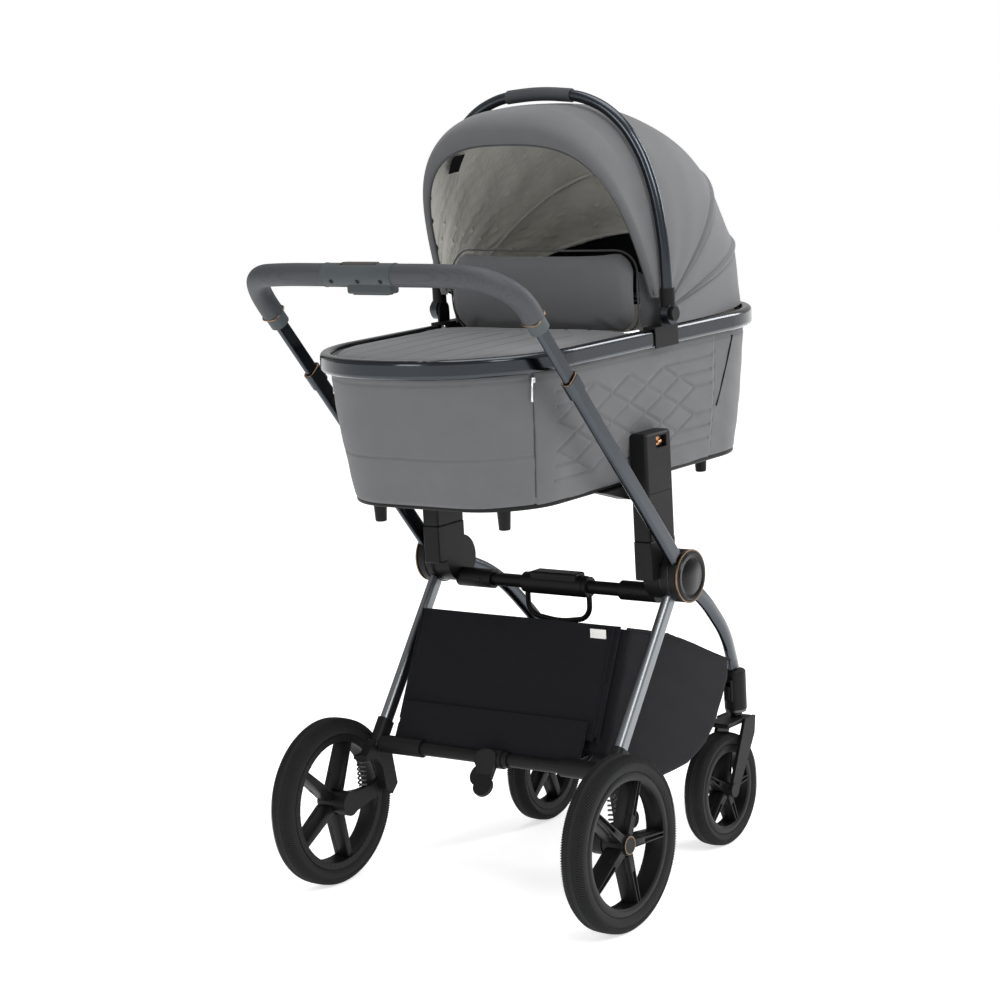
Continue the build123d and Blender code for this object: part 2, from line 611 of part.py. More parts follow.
def tub_section(z, inset):
    """Outline of the cot's body at a height, drawn in by an inset."""
    top = RIM_Z - RIM_H / 2
    share = (z - BASE_Z) / (top - BASE_Z)
    wide, long = COT_W - 2 * RIM_HALF_T - 11, COT_L - 2 * RIM_HALF_T - 11
    w = BASE_W + (wide - BASE_W) * share - 2 * inset
    l = BASE_L + (long - BASE_L) * share - 2 * inset
    r = BASE_CORNER_R + (COT_CORNER_R - 14 - BASE_CORNER_R) * share - inset
    return cot_outline(l, w, r, z)


def cot_tub():
    """Tapered body of the cot, open at the top."""
    top = RIM_Z - RIM_H / 2 - GAP
    outer = loft([tub_section(BASE_Z, 0), tub_section(top, 0)])
    cavity = loft([tub_section(BASE_Z + TUB_WALL, TUB_WALL), tub_section(top + 12, TUB_WALL)])
    return outer - cavity


def cot_rim():
    """Flat-oval metal tube round the cot's mouth."""
    outer = cot_outline(COT_L, COT_W, COT_CORNER_R, RIM_Z - RIM_H / 2)
    inner = cot_outline(COT_L - 2 * RIM_T, COT_W - 2 * RIM_T, COT_CORNER_R - RIM_T, RIM_Z - RIM_H / 2)
    ring = extrude(outer - inner, amount=RIM_H)
    return fillet(ring.edges(), 7)


def rim_sleeves():
    """Moulded sleeves on the rim that carry the hood's pivots."""
    half = COT_W / 2
    top = RIM_Z + RIM_H / 2
    bottom = RIM_Z - RIM_H / 2
    y0, y1 = PIVOT_HOOD_Y - SLEEVE_L / 2, PIVOT_HOOD_Y + SLEEVE_L / 2
    clamp = block(half - RIM_T - SLEEVE_T, half + SLEEVE_T, y0, y1, bottom, top + 3)
    hole = block(half - RIM_T - 0.1, half + 0.1, y0 - 1, y1 + 1, bottom - 3, top + 0.1)
    ear_x = (half - 1.5, half + SLEEVE_T)
    ear = block(*ear_x, PIVOT_HOOD_Y - 14, PIVOT_HOOD_Y + 14, top + 0.2, PIVOT_HOOD_Z)
    eye = x_cylinder(*ear_x, PIVOT_HOOD_Y, PIVOT_HOOD_Z, 14)
    pin = x_cylinder(half, ARCH_HALF + CARRY_R - 3.2, PIVOT_HOOD_Y, PIVOT_HOOD_Z, HOOD_PIN_R)
    return pair(clamp - hole + ear + eye + pin)


def cot_apron():
    """Padded cover over the foot half, with the wind flap that stands up from its edge."""
    z0 = RIM_Z - 2
    inner = cot_outline(COT_L - 2 * RIM_T - 2, COT_W - 2 * RIM_T - 2, COT_CORNER_R - RIM_T - 1, z0)
    cover = extrude(inner, amount=APRON_T)
    cover &= block(-300, 300, -500, FLAP_Y - 0.3, z0 - 5, z0 + 20)
    flap = block(-FLAP_W / 2, FLAP_W / 2, FLAP_Y, FLAP_Y + FLAP_T, z0, FLAP_TOP)
    corners = flap.edges().filter_by(Axis.Y).group_by(Axis.Z)[-1]
    flap = fillet(corners, FLAP_CORNER_R)
    return [cover, flap]


def cot_feet():
    """Four tapered feet under the cot."""
    feet = []
    for x in (-FOOT_X, FOOT_X):
        for y in FOOT_Y:
            cone = Cone(11, 9, FOOT_H, align=(Align.CENTER, Align.CENTER, Align.MIN))
            foot = Pos(x, y, BASE_Z - GAP) * Rot(180, 0, 0) * cone
            feet.append(fillet(foot.edges().group_by(Axis.Z)[0], 2))
    return feet


def cot_mounts():
    """Brackets under the cot that sit against the adapter posts."""
    x1 = CASTING_X - GAP
    z1 = BASE_Z - GAP
    wedge = x_slab(x1 - 26, x1, [(-112, z1), (34, z1), (34, z1 - 22), (-40, z1 - 22)])
    return pair(wedge)


def mattress():
    z0 = BASE_Z + TUB_WALL
    lower, upper = tub_section(z0 + GAP, TUB_WALL + 8), tub_section(z0 + MATTRESS_H, TUB_WALL + 8)
    return loft([lower, upper])


# ---------------------------------------------------------------- hood
def carry_arch(radius):
    """The arched run of the carry handle, as a rod of some radius."""
    return tube(smooth_path(arch_points(ARCH_HALF, ARCH_RISE, 0, EYE_R - 8)), radius)


def carry_handle():
    """Arched carry tube with round eyes on the hood's pivots."""
    ear_face = COT_W / 2 + SLEEVE_T + GAP
    outer_face = ARCH_HALF + CARRY_R - 1
    eye = x_cylinder(ear_face, outer_face, PIVOT_HOOD_Y, PIVOT_HOOD_Z, EYE_R)
    room = x_cylinder(ear_face - 20, ear_face, PIVOT_HOOD_Y, PIVOT_HOOD_Z, EYE_R + 2)
    bore = x_cylinder(ear_face - 1, outer_face - 2, PIVOT_HOOD_Y, PIVOT_HOOD_Z, HOOD_PIN_R + RUN)
    seat = x_cylinder(outer_face - 2, outer_face + 20, PIVOT_HOOD_Y, PIVOT_HOOD_Z, BUTTON_R + GAP)
    arch = carry_arch(CARRY_R)
    for side in (Part() + eye, mirror(eye, about=Plane.YZ)):
        arch += side
    for cut in pair(room + bore + seat):
        arch -= cut
    return arch


def carry_grip():
    """Leather-covered sleeve on the top of the carry handle."""
    sleeve = carry_arch(CARRY_R + 2) - carry_arch(CARRY_R + 0.1)
    half = CARRY_GRIP_L / 2
    return sleeve & block(-half, half, -200, 300, PIVOT_HOOD_Z + 200, PIVOT_HOOD_Z + 500)


def hood_button():
    """Round button that frees the hood."""
    x0 = ARCH_HALF + CARRY_R - 3 + GAP + PRESS
    return x_cylinder(x0, x0 + 5, PIVOT_HOOD_Y, PIVOT_HOOD_Z, BUTTON_R)


def bow(angle, inset):
    """A hood bow just inside the canopy."""
    rise, half = HOOD_RISE - inset, HOOD_HALF - inset
    return tube(smooth_path(arch_points(half, rise, angle, HUB_CUT_R + 6, HOOD_STRETCH)), BOW_R)


def hood_canopy():
    """Curved fabric shell of the hood, open towards the parent."""
    skins = []
    for inset in (0, HOOD_WALL):
        points = arch_points(HOOD_HALF - inset, HOOD_RISE - inset, 0, EYE_R)
        skins.append([Vector(x, 0, z - PIVOT_HOOD_Z) for x, _, z in points])
    outer, inner = skins
    ends = [Line(outer[0], inner[0]), Line(outer[-1], inner[-1])]
    profile = make_face(Curve() + [Spline(outer), Spline(inner), *ends])
    profile -= Plane.XZ * Rectangle(1000, 2 * HUB_CUT_R)
    start = profile.rotate(Axis.X, -VISOR_ANGLE)
    shell = revolve(start, Axis((0, 0, 0), (-1, 0, 0)), HEM_ANGLE - VISOR_ANGLE)
    return Pos(0, PIVOT_HOOD_Y, PIVOT_HOOD_Z) * scale(shell, by=(1, HOOD_STRETCH, 1))


# ---------------------------------------------------------------- nodes
def both_sides(name, shape):
    """The right-hand piece and its mirror image, as two nodes."""
    return {f"{name}_right": shape, f"{name}_left": mirror(shape, about=Plane.YZ)}


def chassis_nodes():
    return {
        "hub_castings": hub_castings(),
        "hub_covers": hub_covers(),
        "adapter_posts": adapter_posts(),
        "adapter_catches": adapter_catches(),
        "upper_crossbar": upper_crossbar(),
        "crossbar_saddle": crossbar_saddle(),
        "fold_loop": fold_loop(),
        "front_legs": front_legs(),
        "caster_housings": caster_housings(),
        "front_cross_tube": front_cross_tube(),
        "basket": basket(),
        **both_sides("swivel_lock", swivel_lock()),
    }


def rear_nodes():
    rim = wheel_rim(REAR_X, REAR_AXLE_Y, REAR_R, REAR_TYRE_W, REAR_BAND, 18, REAR_HUB, REAR_PHASE)
    return {
        "rear_legs": rear_legs(),
        "axle_mounts": axle_mounts(),
        "rear_crossbar": rear_crossbar(),
        "brake_pedal": brake_pedal(),
        **both_sides("suspension_arm", suspension_arm()),
        **both_sides("rear_spring", rear_spring()),
        **both_sides("rear_tyre", tyre(REAR_X, REAR_AXLE_Y, REAR_R, REAR_TYRE_W, REAR_BAND)),
        **both_sides("rear_rim", rim),
        **both_sides("rear_hub_cap", rear_hub_cap()),
    }


def front_nodes():
    half = FRONT_TYRE_W / 2 + 2
    front_hub = (FRONT_X - half, FRONT_X + half)
    rim = wheel_rim(FRONT_X, FRONT_AXLE_Y, FRONT_R, FRONT_TYRE_W, FRONT_BAND, 12, front_hub, FRONT_PHASE)
    return {
        **both_sides("caster_stem", caster_stem()),
        **both_sides("front_spring", front_spring()),
        **both_sides("front_fork", front_fork()),
        **both_sides("front_tyre", tyre(FRONT_X, FRONT_AXLE_Y, FRONT_R, FRONT_TYRE_W, FRONT_BAND)),
        **both_sides("front_rim", rim),
    }


def handle_nodes():
    return {
        "handle_lower_tubes": handle_lower(),
        "telescope_collars": telescope_collars(),
        "handle_upper_tubes": handle_upper_tubes(),
        "grip_collars": grip_collars(),
        "handle_grip": handle_grip(),
        "handle_centre": handle_centre(),
        "handle_button": handle_button(),
        "handle_trigger": handle_trigger(),
    }


def cot_nodes():
    return {
        "cot_tub": cot_tub(),
        "cot_rim": cot_rim(),
        "rim_sleeves": rim_sleeves(),
        "cot_apron": cot_apron(),
        "cot_feet": cot_feet(),
        "cot_mounts": cot_mounts(),
        "mattress": mattress(),
        "carry_handle": carry_handle(),
        "carry_grip": carry_grip(),
        "hood_canopy": hood_canopy(),
        "hood_bow_front": bow(VISOR_ANGLE + 1.5, HOOD_WALL + BOW_R + GAP),
        "hood_bow_middle": bow(MID_BOW_ANGLE, HOOD_WALL + BOW_R + GAP),
        "hood_bow_rear": bow(REAR_BOW_ANGLE, HOOD_WALL + BOW_R + GAP),
        **both_sides("hood_button", hood_button()),
    }


def save(name, shape):
    """Write one node; a list is a group of separate solids."""
    pieces = shape if isinstance(shape, list) else [shape]
    solids = [solid for piece in pieces for solid in piece.solids()]
    export_step(Compound(solids) if len(solids) > 1 else solids[0], f"parts/{name}.step")


for nodes in (chassis_nodes, rear_nodes, front_nodes, handle_nodes, cot_nodes):
    for node, model in nodes().items():
        save(node, model)
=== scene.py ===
"""Looks of a folding baby stroller with a lift-off carrycot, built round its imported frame."""
import json
from math import atan2, cos, hypot, pi, radians, sin

import bmesh
import bpy
import numpy as np
from mathutils import Matrix, Vector


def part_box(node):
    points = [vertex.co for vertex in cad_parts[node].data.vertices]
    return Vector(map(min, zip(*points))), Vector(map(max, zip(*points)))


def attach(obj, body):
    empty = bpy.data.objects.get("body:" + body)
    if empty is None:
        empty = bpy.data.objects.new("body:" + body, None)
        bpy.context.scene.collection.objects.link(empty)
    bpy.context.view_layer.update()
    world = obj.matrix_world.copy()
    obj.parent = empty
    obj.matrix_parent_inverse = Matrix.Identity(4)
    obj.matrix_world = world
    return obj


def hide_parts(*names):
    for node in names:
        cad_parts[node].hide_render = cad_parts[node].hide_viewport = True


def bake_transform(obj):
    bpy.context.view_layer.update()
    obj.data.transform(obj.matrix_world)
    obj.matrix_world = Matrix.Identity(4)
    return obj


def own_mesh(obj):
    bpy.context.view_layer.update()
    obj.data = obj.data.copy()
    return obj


bl_info = {
    "name": "Carrycot Stroller",
    "version": (1, 0, 0),
    "blender": (4, 5, 0),
    "location": "View3D > Sidebar > Stroller",
    "description": "Sews, moulds and finishes the pieces of a stroller round its frame",
    "category": "Object",
}

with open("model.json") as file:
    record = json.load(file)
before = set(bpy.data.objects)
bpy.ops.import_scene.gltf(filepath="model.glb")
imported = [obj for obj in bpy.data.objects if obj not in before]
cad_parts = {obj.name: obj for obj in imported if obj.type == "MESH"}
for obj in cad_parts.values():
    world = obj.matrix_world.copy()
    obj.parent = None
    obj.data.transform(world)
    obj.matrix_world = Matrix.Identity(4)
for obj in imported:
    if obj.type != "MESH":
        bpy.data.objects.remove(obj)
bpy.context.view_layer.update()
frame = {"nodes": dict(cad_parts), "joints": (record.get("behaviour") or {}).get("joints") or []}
MM = 0.001
JOINTS = {joint["name"]: joint for joint in frame["joints"]}
SIDES = (("right", 1), ("left", -1))

# places read from the frame
RIM_LO, RIM_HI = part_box("cot_rim")
TUB_LO, TUB_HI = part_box("cot_tub")
PIVOT = Vector(JOINTS["hood_fold"]["pos_m"])
HUB = Vector(JOINTS["frame_fold"]["pos_m"])
COT_Y = (RIM_LO.y + RIM_HI.y) / 2
FLAP_LO, FLAP_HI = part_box("cot_apron")
BASKET_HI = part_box("basket")[1]


# ---------------------------------------------------------------- settings
def millimetres(label, text, value, low=0.0, high=1000.0):
    """A length setting, kept in metres."""
    return bpy.props.FloatProperty(name=label, description=text, default=value * MM, min=low * MM,
                                   max=high * MM, subtype="DISTANCE", unit="LENGTH", precision=4)


def colour(label, text, value):
    return bpy.props.FloatVectorProperty(name=label, description=text, default=value, size=3, min=0.0,
                                         max=1.0, subtype="COLOR")


class StrollerFabric(bpy.types.PropertyGroup):
    """Cloth of the cot, hood, apron and basket."""
    twill: colour("Twill", "Colour of the cot's and hood's outer cloth", (0.112, 0.114, 0.119))
    basket: colour("Basket cloth", "Colour of the basket's plain weave", (0.0062, 0.0062, 0.0085))
    liner: colour("Liner", "Colour of the quilted liner", (0.80, 0.79, 0.74))
    quilt_depth: millimetres("Quilt depth", "Depth of the sewn lines on the sides", 2.2, 0, 5)
    seam_width: millimetres("Seam width", "Width of a sewn groove", 2.4, 0.5, 8)
    rib_height: millimetres("Rib height", "Height of the ridge over a hood bow", 3.2, 0, 6)
    visor_band: millimetres("Visor band", "Width of the visor's front face", 47, 10, 80)


class StrollerHardware(bpy.types.PropertyGroup):
    """Metal and moulded pieces."""
    gunmetal: colour("Gunmetal", "Colour of the handle, rim and front legs", (0.042, 0.049, 0.058))
    silver: colour("Silver", "Colour of the rear legs", (0.215, 0.225, 0.235))
    plastic: colour("Black plastic", "Colour of the moulded pieces", (0.0055, 0.0055, 0.0060))
    bronze: colour("Bronze", "Colour of the thin trim rings", (0.22, 0.145, 0.09))


class StrollerWheels(bpy.types.PropertyGroup):
    """Tyres and rims."""
    tread_depth: millimetres("Tread depth", "Height of a tread bar", 1.8, 0.5, 5)
    tread_pitch: millimetres("Tread pitch", "Distance between tread bars", 4.2, 3, 12)
    rubber: colour("Rubber", "Colour of the tyres", (0.0125, 0.0127, 0.0130))


# ---------------------------------------------------------------- shader groups
def add_node(tree, kind, **inputs):
    """A shader node with some of its inputs set by socket name."""
    node = tree.nodes.new("ShaderNode" + kind)
    for key, value in inputs.items():
        node.inputs[key.replace("_", " ")].default_value = value
    return node


def new_group(name, inputs, outputs):
    """A node group, its input node and its output node."""
    group = bpy.data.node_groups.new(name, "ShaderNodeTree")
    for label, default in inputs:
        socket = group.interface.new_socket(label, in_out="INPUT", socket_type="NodeSocketFloat")
        socket.default_value = default
    for label, kind in outputs:
        group.interface.new_socket(label, in_out="OUTPUT", socket_type="NodeSocket" + kind)
    return group, group.nodes.new("NodeGroupInput"), group.nodes.new("NodeGroupOutput")


def math_node(tree, operation, a, b=None):
    """A Math node fed by sockets or plain numbers."""
    node = tree.nodes.new("ShaderNodeMath")
    node.operation = operation
    for index, value in enumerate((a, b)):
        if value is None:
            continue
        if isinstance(value, (int, float)):
            node.inputs[index].default_value = value
        else:
            tree.links.new(value, node.inputs[index])
    return node.outputs[0]


def scaled_noise(tree, coordinates, scale, detail=4.0):
    noise = add_node(tree, "TexNoise", Detail=detail)
    tree.links.new(coordinates, noise.inputs["Vector"])
    if isinstance(scale, (int, float)):
        noise.inputs["Scale"].default_value = scale
    else:
        tree.links.new(scale, noise.inputs["Scale"])
    return noise.outputs["Fac"]


def thread_group():
    """Twill threads: two crossing sets of fine waves with uneven yarn."""
    group, given, out = new_group("Threads", [("Threads per metre", 900.0), ("Unevenness", 0.5)],
                                  [("Height", "Float"), ("Tone", "Float")])
    links = group.links
    place = add_node(group, "TexCoord").outputs["Object"]
    split = group.nodes.new("ShaderNodeSeparateXYZ")
    links.new(place, split.inputs[0])
    across = math_node(group, "ADD", split.outputs["X"], split.outputs["Y"])
    count = math_node(group, "MULTIPLY", given.outputs["Threads per metre"], 2 * pi)
    warp = math_node(group, "SINE", math_node(group, "MULTIPLY", across, count))
    rise = math_node(group, "ADD", split.outputs["Z"], math_node(group, "MULTIPLY", across, 0.4))
    weft = math_node(group, "SINE", math_node(group, "MULTIPLY", rise, count))
    weave = math_node(group, "MULTIPLY", math_node(group, "ADD", warp, weft), 0.25)
    yarn = scaled_noise(group, place, given.outputs["Threads per metre"], 2.0)
    rough = math_node(group, "MULTIPLY", yarn, given.outputs["Unevenness"])
    links.new(math_node(group, "ADD", weave, rough), out.inputs["Height"])
    blotch = scaled_noise(group, place, 35.0, 5.0)
    links.new(math_node(group, "ADD", math_node(group, "MULTIPLY", blotch, 0.6),
                        math_node(group, "MULTIPLY", yarn, 0.4)), out.inputs["Tone"])
    return group


def grain_group():
    """Grained surface: fine grain, slow mottling and a mask on convex edges, broken up by the mottling."""
    group, given, out = new_group("Grain", [("Grain scale", 1500.0), ("Mottle scale", 25.0)],
                                  [("Height", "Float"), ("Mottle", "Float"), ("Edge paling", "Float")])
    links = group.links
    place = add_node(group, "TexCoord").outputs["Object"]
    fine = scaled_noise(group, place, given.outputs["Grain scale"], 2.0)
    slow = scaled_noise(group, place, given.outputs["Mottle scale"], 6.0)
    links.new(fine, out.inputs["Height"])
    links.new(slow, out.inputs["Mottle"])
    # mask that rises on convex edges, in patches; moulded finishes turn paler where it is high
    edge = group.nodes.new("ShaderNodeNewGeometry").outputs["Pointiness"]
    ramp = math_node(group, "MULTIPLY", math_node(group, "SUBTRACT", edge, 0.52), 9.0)
    links.new(math_node(group, "MULTIPLY", math_node(group, "MAXIMUM", ramp, 0.0), slow), out.inputs["Edge paling"])
    return group


def place_group(tree, name, **inputs):
    node = tree.nodes.new("ShaderNodeGroup")
    node.node_tree = bpy.data.node_groups[name]
    for key, value in inputs.items():
        node.inputs[key.replace("_", " ")].default_value = value
    return node


def mix_colours(tree, mask, first, second):
    """Colour that turns from first to second with a mask socket."""
    mix = tree.nodes.new("ShaderNodeMix")
    mix.data_type = "RGBA"
    mix.inputs["A"].default_value = (*first, 1)
    mix.inputs["B"].default_value = (*second, 1)
    tree.links.new(mask, mix.inputs["Factor"])
    return mix.outputs["Result"]


def shade(base, share):
    """A colour made lighter or darker by a factor."""
    return tuple(min(1.0, channel * share) for channel in base)


def start_material(name, **settings):
    """A material with its Principled BSDF, whose plain values are set on its own sockets."""
    material = bpy.data.materials.new(name)
    material.use_nodes = True
    shader = material.node_tree.nodes["Principled BSDF"]
    for key, value in settings.items():
        shader.inputs[key.replace("_", " ")].default_value = value
    return material, material.node_tree, shader


def add_bump(tree, shader, height, distance, strength=1.0):
    bump = add_node(tree, "Bump", Strength=strength, Distance=distance)
    tree.links.new(height, bump.inputs["Height"])
    tree.links.new(bump.outputs["Normal"], shader.inputs["Normal"])


def cloth_material(name, base, threads=900.0, contrast=0.12, roughness=0.86, sheen=0.35, depth=0.00025):
    """Woven cloth with uneven threads and a soft sheen."""
    material, tree, shader = start_material(name, Sheen_Weight=sheen, Sheen_Roughness=0.45)
    shader.inputs["Specular IOR Level"].default_value = 0.15
    weave = place_group(tree, "Threads", Threads_per_metre=threads)
    tint = mix_colours(tree, weave.outputs["Tone"], shade(base, 1 - contrast), shade(base, 1 + contrast))
    tree.links.new(tint, shader.inputs["Base Color"])
    rough = math_node(tree, "ADD", math_node(tree, "MULTIPLY", weave.outputs["Tone"], 0.1), roughness - 0.05)
    tree.links.new(rough, shader.inputs["Roughness"])
    add_bump(tree, shader, weave.outputs["Height"], depth)
    return material


def moulded_material(name, base, roughness=0.5, grain=1500.0, depth=0.00005, edge_paling=1.6, spread=0.14,
                     shine=0.17):
    """Moulded plastic or rubber: fine grain, uneven gloss and paler edges."""
    material, tree, shader = start_material(name)
    shader.inputs["Specular IOR Level"].default_value = shine
    skin = place_group(tree, "Grain", Grain_scale=grain)
    # colour turns paler on convex edges, in patches set by the slow mottle
    tint = mix_colours(tree, skin.outputs["Edge paling"], base, shade(base, edge_paling))
    tree.links.new(tint, shader.inputs["Base Color"])
    swing = math_node(tree, "MULTIPLY", skin.outputs["Mottle"], spread)
    tree.links.new(math_node(tree, "ADD", swing, roughness - spread / 2), shader.inputs["Roughness"])
    add_bump(tree, shader, skin.outputs["Height"], depth)
    return material


def metal_material(name, base, roughness=0.24, coat=0.0, spread=0.08, depth=0.00001):
    """Anodised or coated metal with slightly uneven polish."""
    material, tree, shader = start_material(name, Metallic=1.0, Coat_Weight=coat, Coat_Roughness=0.12)
    skin = place_group(tree, "Grain", Grain_scale=2500.0, Mottle_scale=14.0)
    tint = mix_colours(tree, skin.outputs["Mottle"], shade(base, 0.93), shade(base, 1.07))
    tree.links.new(tint, shader.inputs["Base Color"])
    swing = math_node(tree, "MULTIPLY", skin.outputs["Mottle"], spread)
    tree.links.new(math_node(tree, "ADD", swing, roughness - spread / 2), shader.inputs["Roughness"])
    add_bump(tree, shader, skin.outputs["Height"], depth)
    return material


def leather_material(name, base):
    """Perforated leather of the grips: small round holes in rows over a fine grain."""
    material, tree, shader = start_material(name)
    place = add_node(tree, "TexCoord").outputs["Object"]
    holes = add_node(tree, "TexVoronoi", Scale=330.0, Randomness=0.12)
    tree.links.new(place, holes.inputs["Vector"])
    dot = tree.nodes.new("ShaderNodeMapRange")
    tree.links.new(holes.outputs["Distance"], dot.inputs["Value"])
    dot.inputs["From Min"].default_value = 0.18
    dot.inputs["From Max"].default_value = 0.34
    skin = place_group(tree, "Grain", Grain_scale=900.0)
    tint = mix_colours(tree, dot.outputs["Result"], shade(base, 0.3), base)
    tree.links.new(tint, shader.inputs["Base Color"])
    rough = math_node(tree, "ADD", math_node(tree, "MULTIPLY", skin.outputs["Mottle"], 0.15), 0.5)
    tree.links.new(rough, shader.inputs["Roughness"])
    height = math_node(tree, "ADD", dot.outputs["Result"],
                       math_node(tree, "MULTIPLY", skin.outputs["Height"], 0.3))
    add_bump(tree, shader, height, 0.0004)
    return material


FLOOR_GLOW = 0.62


def floor_material():
    """Matt white floor with a faint glow of its own, so that it runs white to the backdrop."""
    material, tree, shader = start_material("Floor", Roughness=0.8, Emission_Strength=FLOOR_GLOW)
    shader.inputs["Emission Color"].default_value = (1, 1, 1, 1)
    skin = place_group(tree, "Grain", Grain_scale=400.0, Mottle_scale=1.5)
    tint = mix_colours(tree, skin.outputs["Mottle"], (0.88, 0.88, 0.88), (0.91, 0.91, 0.91))
    tree.links.new(tint, shader.inputs["Base Color"])
    return material


def make_materials(fabric, hardware, wheels):
    """Every finish of the stroller, by the name that the pieces use."""
    thread_group()
    grain_group()
    gunmetal, plastic = tuple(hardware.gunmetal), tuple(hardware.plastic)
    cloth_material("Grey twill", tuple(fabric.twill), sheen=0.25)
    cloth_material("Black cloth", tuple(fabric.basket), 1100.0, 0.15, 0.9, 0.05)
    cloth_material("Quilted liner", tuple(fabric.liner), 700.0, 0.05, 0.9, 0.3)
    # the grey twill darkened to 0.6: painted shade for the gussets between the wind flap and the hood
    cloth_material("Shadow twill", shade(tuple(fabric.twill), 0.6), sheen=0.2)
    cloth_material("Vent mesh", (0.006, 0.006, 0.007), 500.0, 0.2, 0.9, 0.0, 0.0005)
    cloth_material("Edge binding", (0.045, 0.046, 0.05), 1200.0, 0.1, 0.8, 0.3)
    cloth_material("Mattress knit", (0.72, 0.71, 0.68), 600.0, 0.05, 0.9, 0.3)
    metal_material("Gunmetal", gunmetal, 0.27, 0.35)
    metal_material("Rim gunmetal", shade(gunmetal, 0.75), 0.2, 0.5)
    metal_material("Silver", tuple(hardware.silver), 0.38)
    metal_material("Bronze", tuple(hardware.bronze), 0.35)
    metal_material("Copper", (0.62, 0.30, 0.14), 0.25)
    metal_material("Spring steel", (0.10, 0.10, 0.105), 0.4)
    metal_material("Zip metal", (0.65, 0.65, 0.66), 0.22)
    moulded_material("Black plastic", plastic, 0.46)
    moulded_material("Glossy plastic", shade(plastic, 0.7), 0.2)
    moulded_material("Rim plastic", shade(plastic, 1.15), 0.42, 1200.0)
    moulded_material("Tyre rubber", tuple(wheels.rubber), 0.68, 900.0, 0.0001)
    moulded_material("Grey-green plastic", (0.048, 0.055, 0.058), 0.45)
    moulded_material("Tan button", (0.062, 0.056, 0.05), 0.55)
    leather_material("Perforated leather", (0.036, 0.040, 0.046))
    floor_material()


CAD_FINISHES = {
    "Black plastic": ["hub_castings", "adapter_posts", "upper_crossbar", "crossbar_saddle", "fold_loop",
                      "caster_housings", "front_cross_tube", "axle_mounts", "rear_crossbar", "brake_pedal",
                      "rim_sleeves", "cot_feet", "cot_mounts", "swivel_lock",
                      "suspension_arm", "front_fork", "hood_button", "rear_hub_cap", "hub_covers"],
    "Gunmetal": ["front_legs", "telescope_collars", "handle_lower_tubes", "handle_upper_tubes",
                 "carry_handle"],
    "Rim gunmetal": ["cot_rim"],
    "Silver": ["rear_legs"],
    "Copper": ["adapter_catches"],
    "Spring steel": ["hood_bow", "rear_spring", "front_spring", "caster_stem"],
    "Grey-green plastic": ["grip_collars", "handle_centre", "handle_trigger"],
    "Tan button": ["handle_button"],
    "Perforated leather": ["handle_grip", "carry_grip"],
}


# ---------------------------------------------------------------- modelling helpers
def deselect():
    if bpy.context.object and bpy.context.object.mode != "OBJECT":
        bpy.ops.object.mode_set(mode="OBJECT")
    bpy.ops.object.select_all(action="DESELECT")


def pick(obj):
    """Make one object the only selected and active one."""
    deselect()
    obj.select_set(True)
    bpy.context.view_layer.objects.active = obj


def settle(obj):
    """Move the object's place into its mesh."""
    pick(obj)
    bpy.ops.object.transform_apply(location=True, rotation=True, scale=True)
    return obj


def add_modifier(obj, kind, **settings):
    """Add a modifier and apply it."""
    pick(obj)
    modifier = obj.modifiers.new(kind.title(), kind)
    for key, value in settings.items():
        setattr(modifier, key, value)
    bpy.ops.object.modifier_apply(modifier=modifier.name)


def finish_piece(obj, name, body, slot, material, angle=35.0):
    """Name, smooth, paint and hang a finished piece on its body."""
    settle(obj)
    obj.name = name
    obj.data.name = name
    obj.data.materials.clear()
    obj.data.materials.append(bpy.data.materials[material])
    pick(obj)
    bpy.ops.object.shade_smooth_by_angle(angle=radians(angle))
    if body:
        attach(obj, body)
    return obj


def mesh_object(name, points, faces):
    mesh = bpy.data.meshes.new(name)
    mesh.from_pydata([tuple(p) for p in points], [], faces)
    mesh.validate()
    obj = bpy.data.objects.new(name, mesh)
    bpy.context.scene.collection.objects.link(obj)
    return obj


def cloth_grid(name, place, rows, columns, closed=False):
    """A sheet whose point at shares (u, v) is place(u, v); v runs along the rows."""
    count = columns if closed else columns + 1
    points = [place(i / columns, j / rows) for j in range(rows + 1) for i in range(count)]
    faces = []
    for j in range(rows):
        for i in range(columns):
            a, b = j * count + i, j * count + (i + 1) % count
            faces.append((a, b, b + count, a + count))
    return mesh_object(name, points, faces)


def face_outwards(obj, inside=False):
    """Merge doubles and recalculate the normals."""
    pick(obj)
    bpy.ops.object.mode_set(mode="EDIT")
    bpy.ops.mesh.select_all(action="SELECT")
    bpy.ops.mesh.remove_doubles(threshold=1e-6)
    bpy.ops.mesh.normals_make_consistent(inside=inside)
    bpy.ops.object.mode_set(mode="OBJECT")


def extruded_plate(name, ring, move):
    """A flat outline extruded into a closed plate."""
    plate = mesh_object(name, ring, [tuple(range(len(ring)))])
    pick(plate)
    bpy.ops.object.mode_set(mode="EDIT")
    bpy.ops.mesh.select_all(action="SELECT")
    bpy.ops.mesh.extrude_region_move(TRANSFORM_OT_translate={"value": move})
    bpy.ops.object.mode_set(mode="OBJECT")
    face_outwards(plate)
    return plate


def spin_profile(name, profile, centre, steps, closed=True):
    """Turn an outline of (radius, x) points into a ring round an axis along X."""
    points = [(centre.x + x, centre.y, centre.z + r) for r, x in profile]
    edges = [(i, i + 1) for i in range(len(points) - 1)] + ([(len(points) - 1, 0)] if closed else [])
    mesh = bpy.data.meshes.new(name)
    mesh.from_pydata(points, edges, [])
    obj = bpy.data.objects.new(name, mesh)
    bpy.context.scene.collection.objects.link(obj)
    pick(obj)
    bpy.ops.object.mode_set(mode="EDIT")
    bpy.ops.mesh.select_all(action="SELECT")
    bpy.ops.mesh.spin(steps=steps, angle=2 * pi, center=centre, axis=(1, 0, 0))
    bpy.ops.object.mode_set(mode="OBJECT")
    face_outwards(obj)
    return obj


def join(first, *others):
    pick(first)
    for other in others:
        other.select_set(True)
    bpy.ops.object.join()
    return first


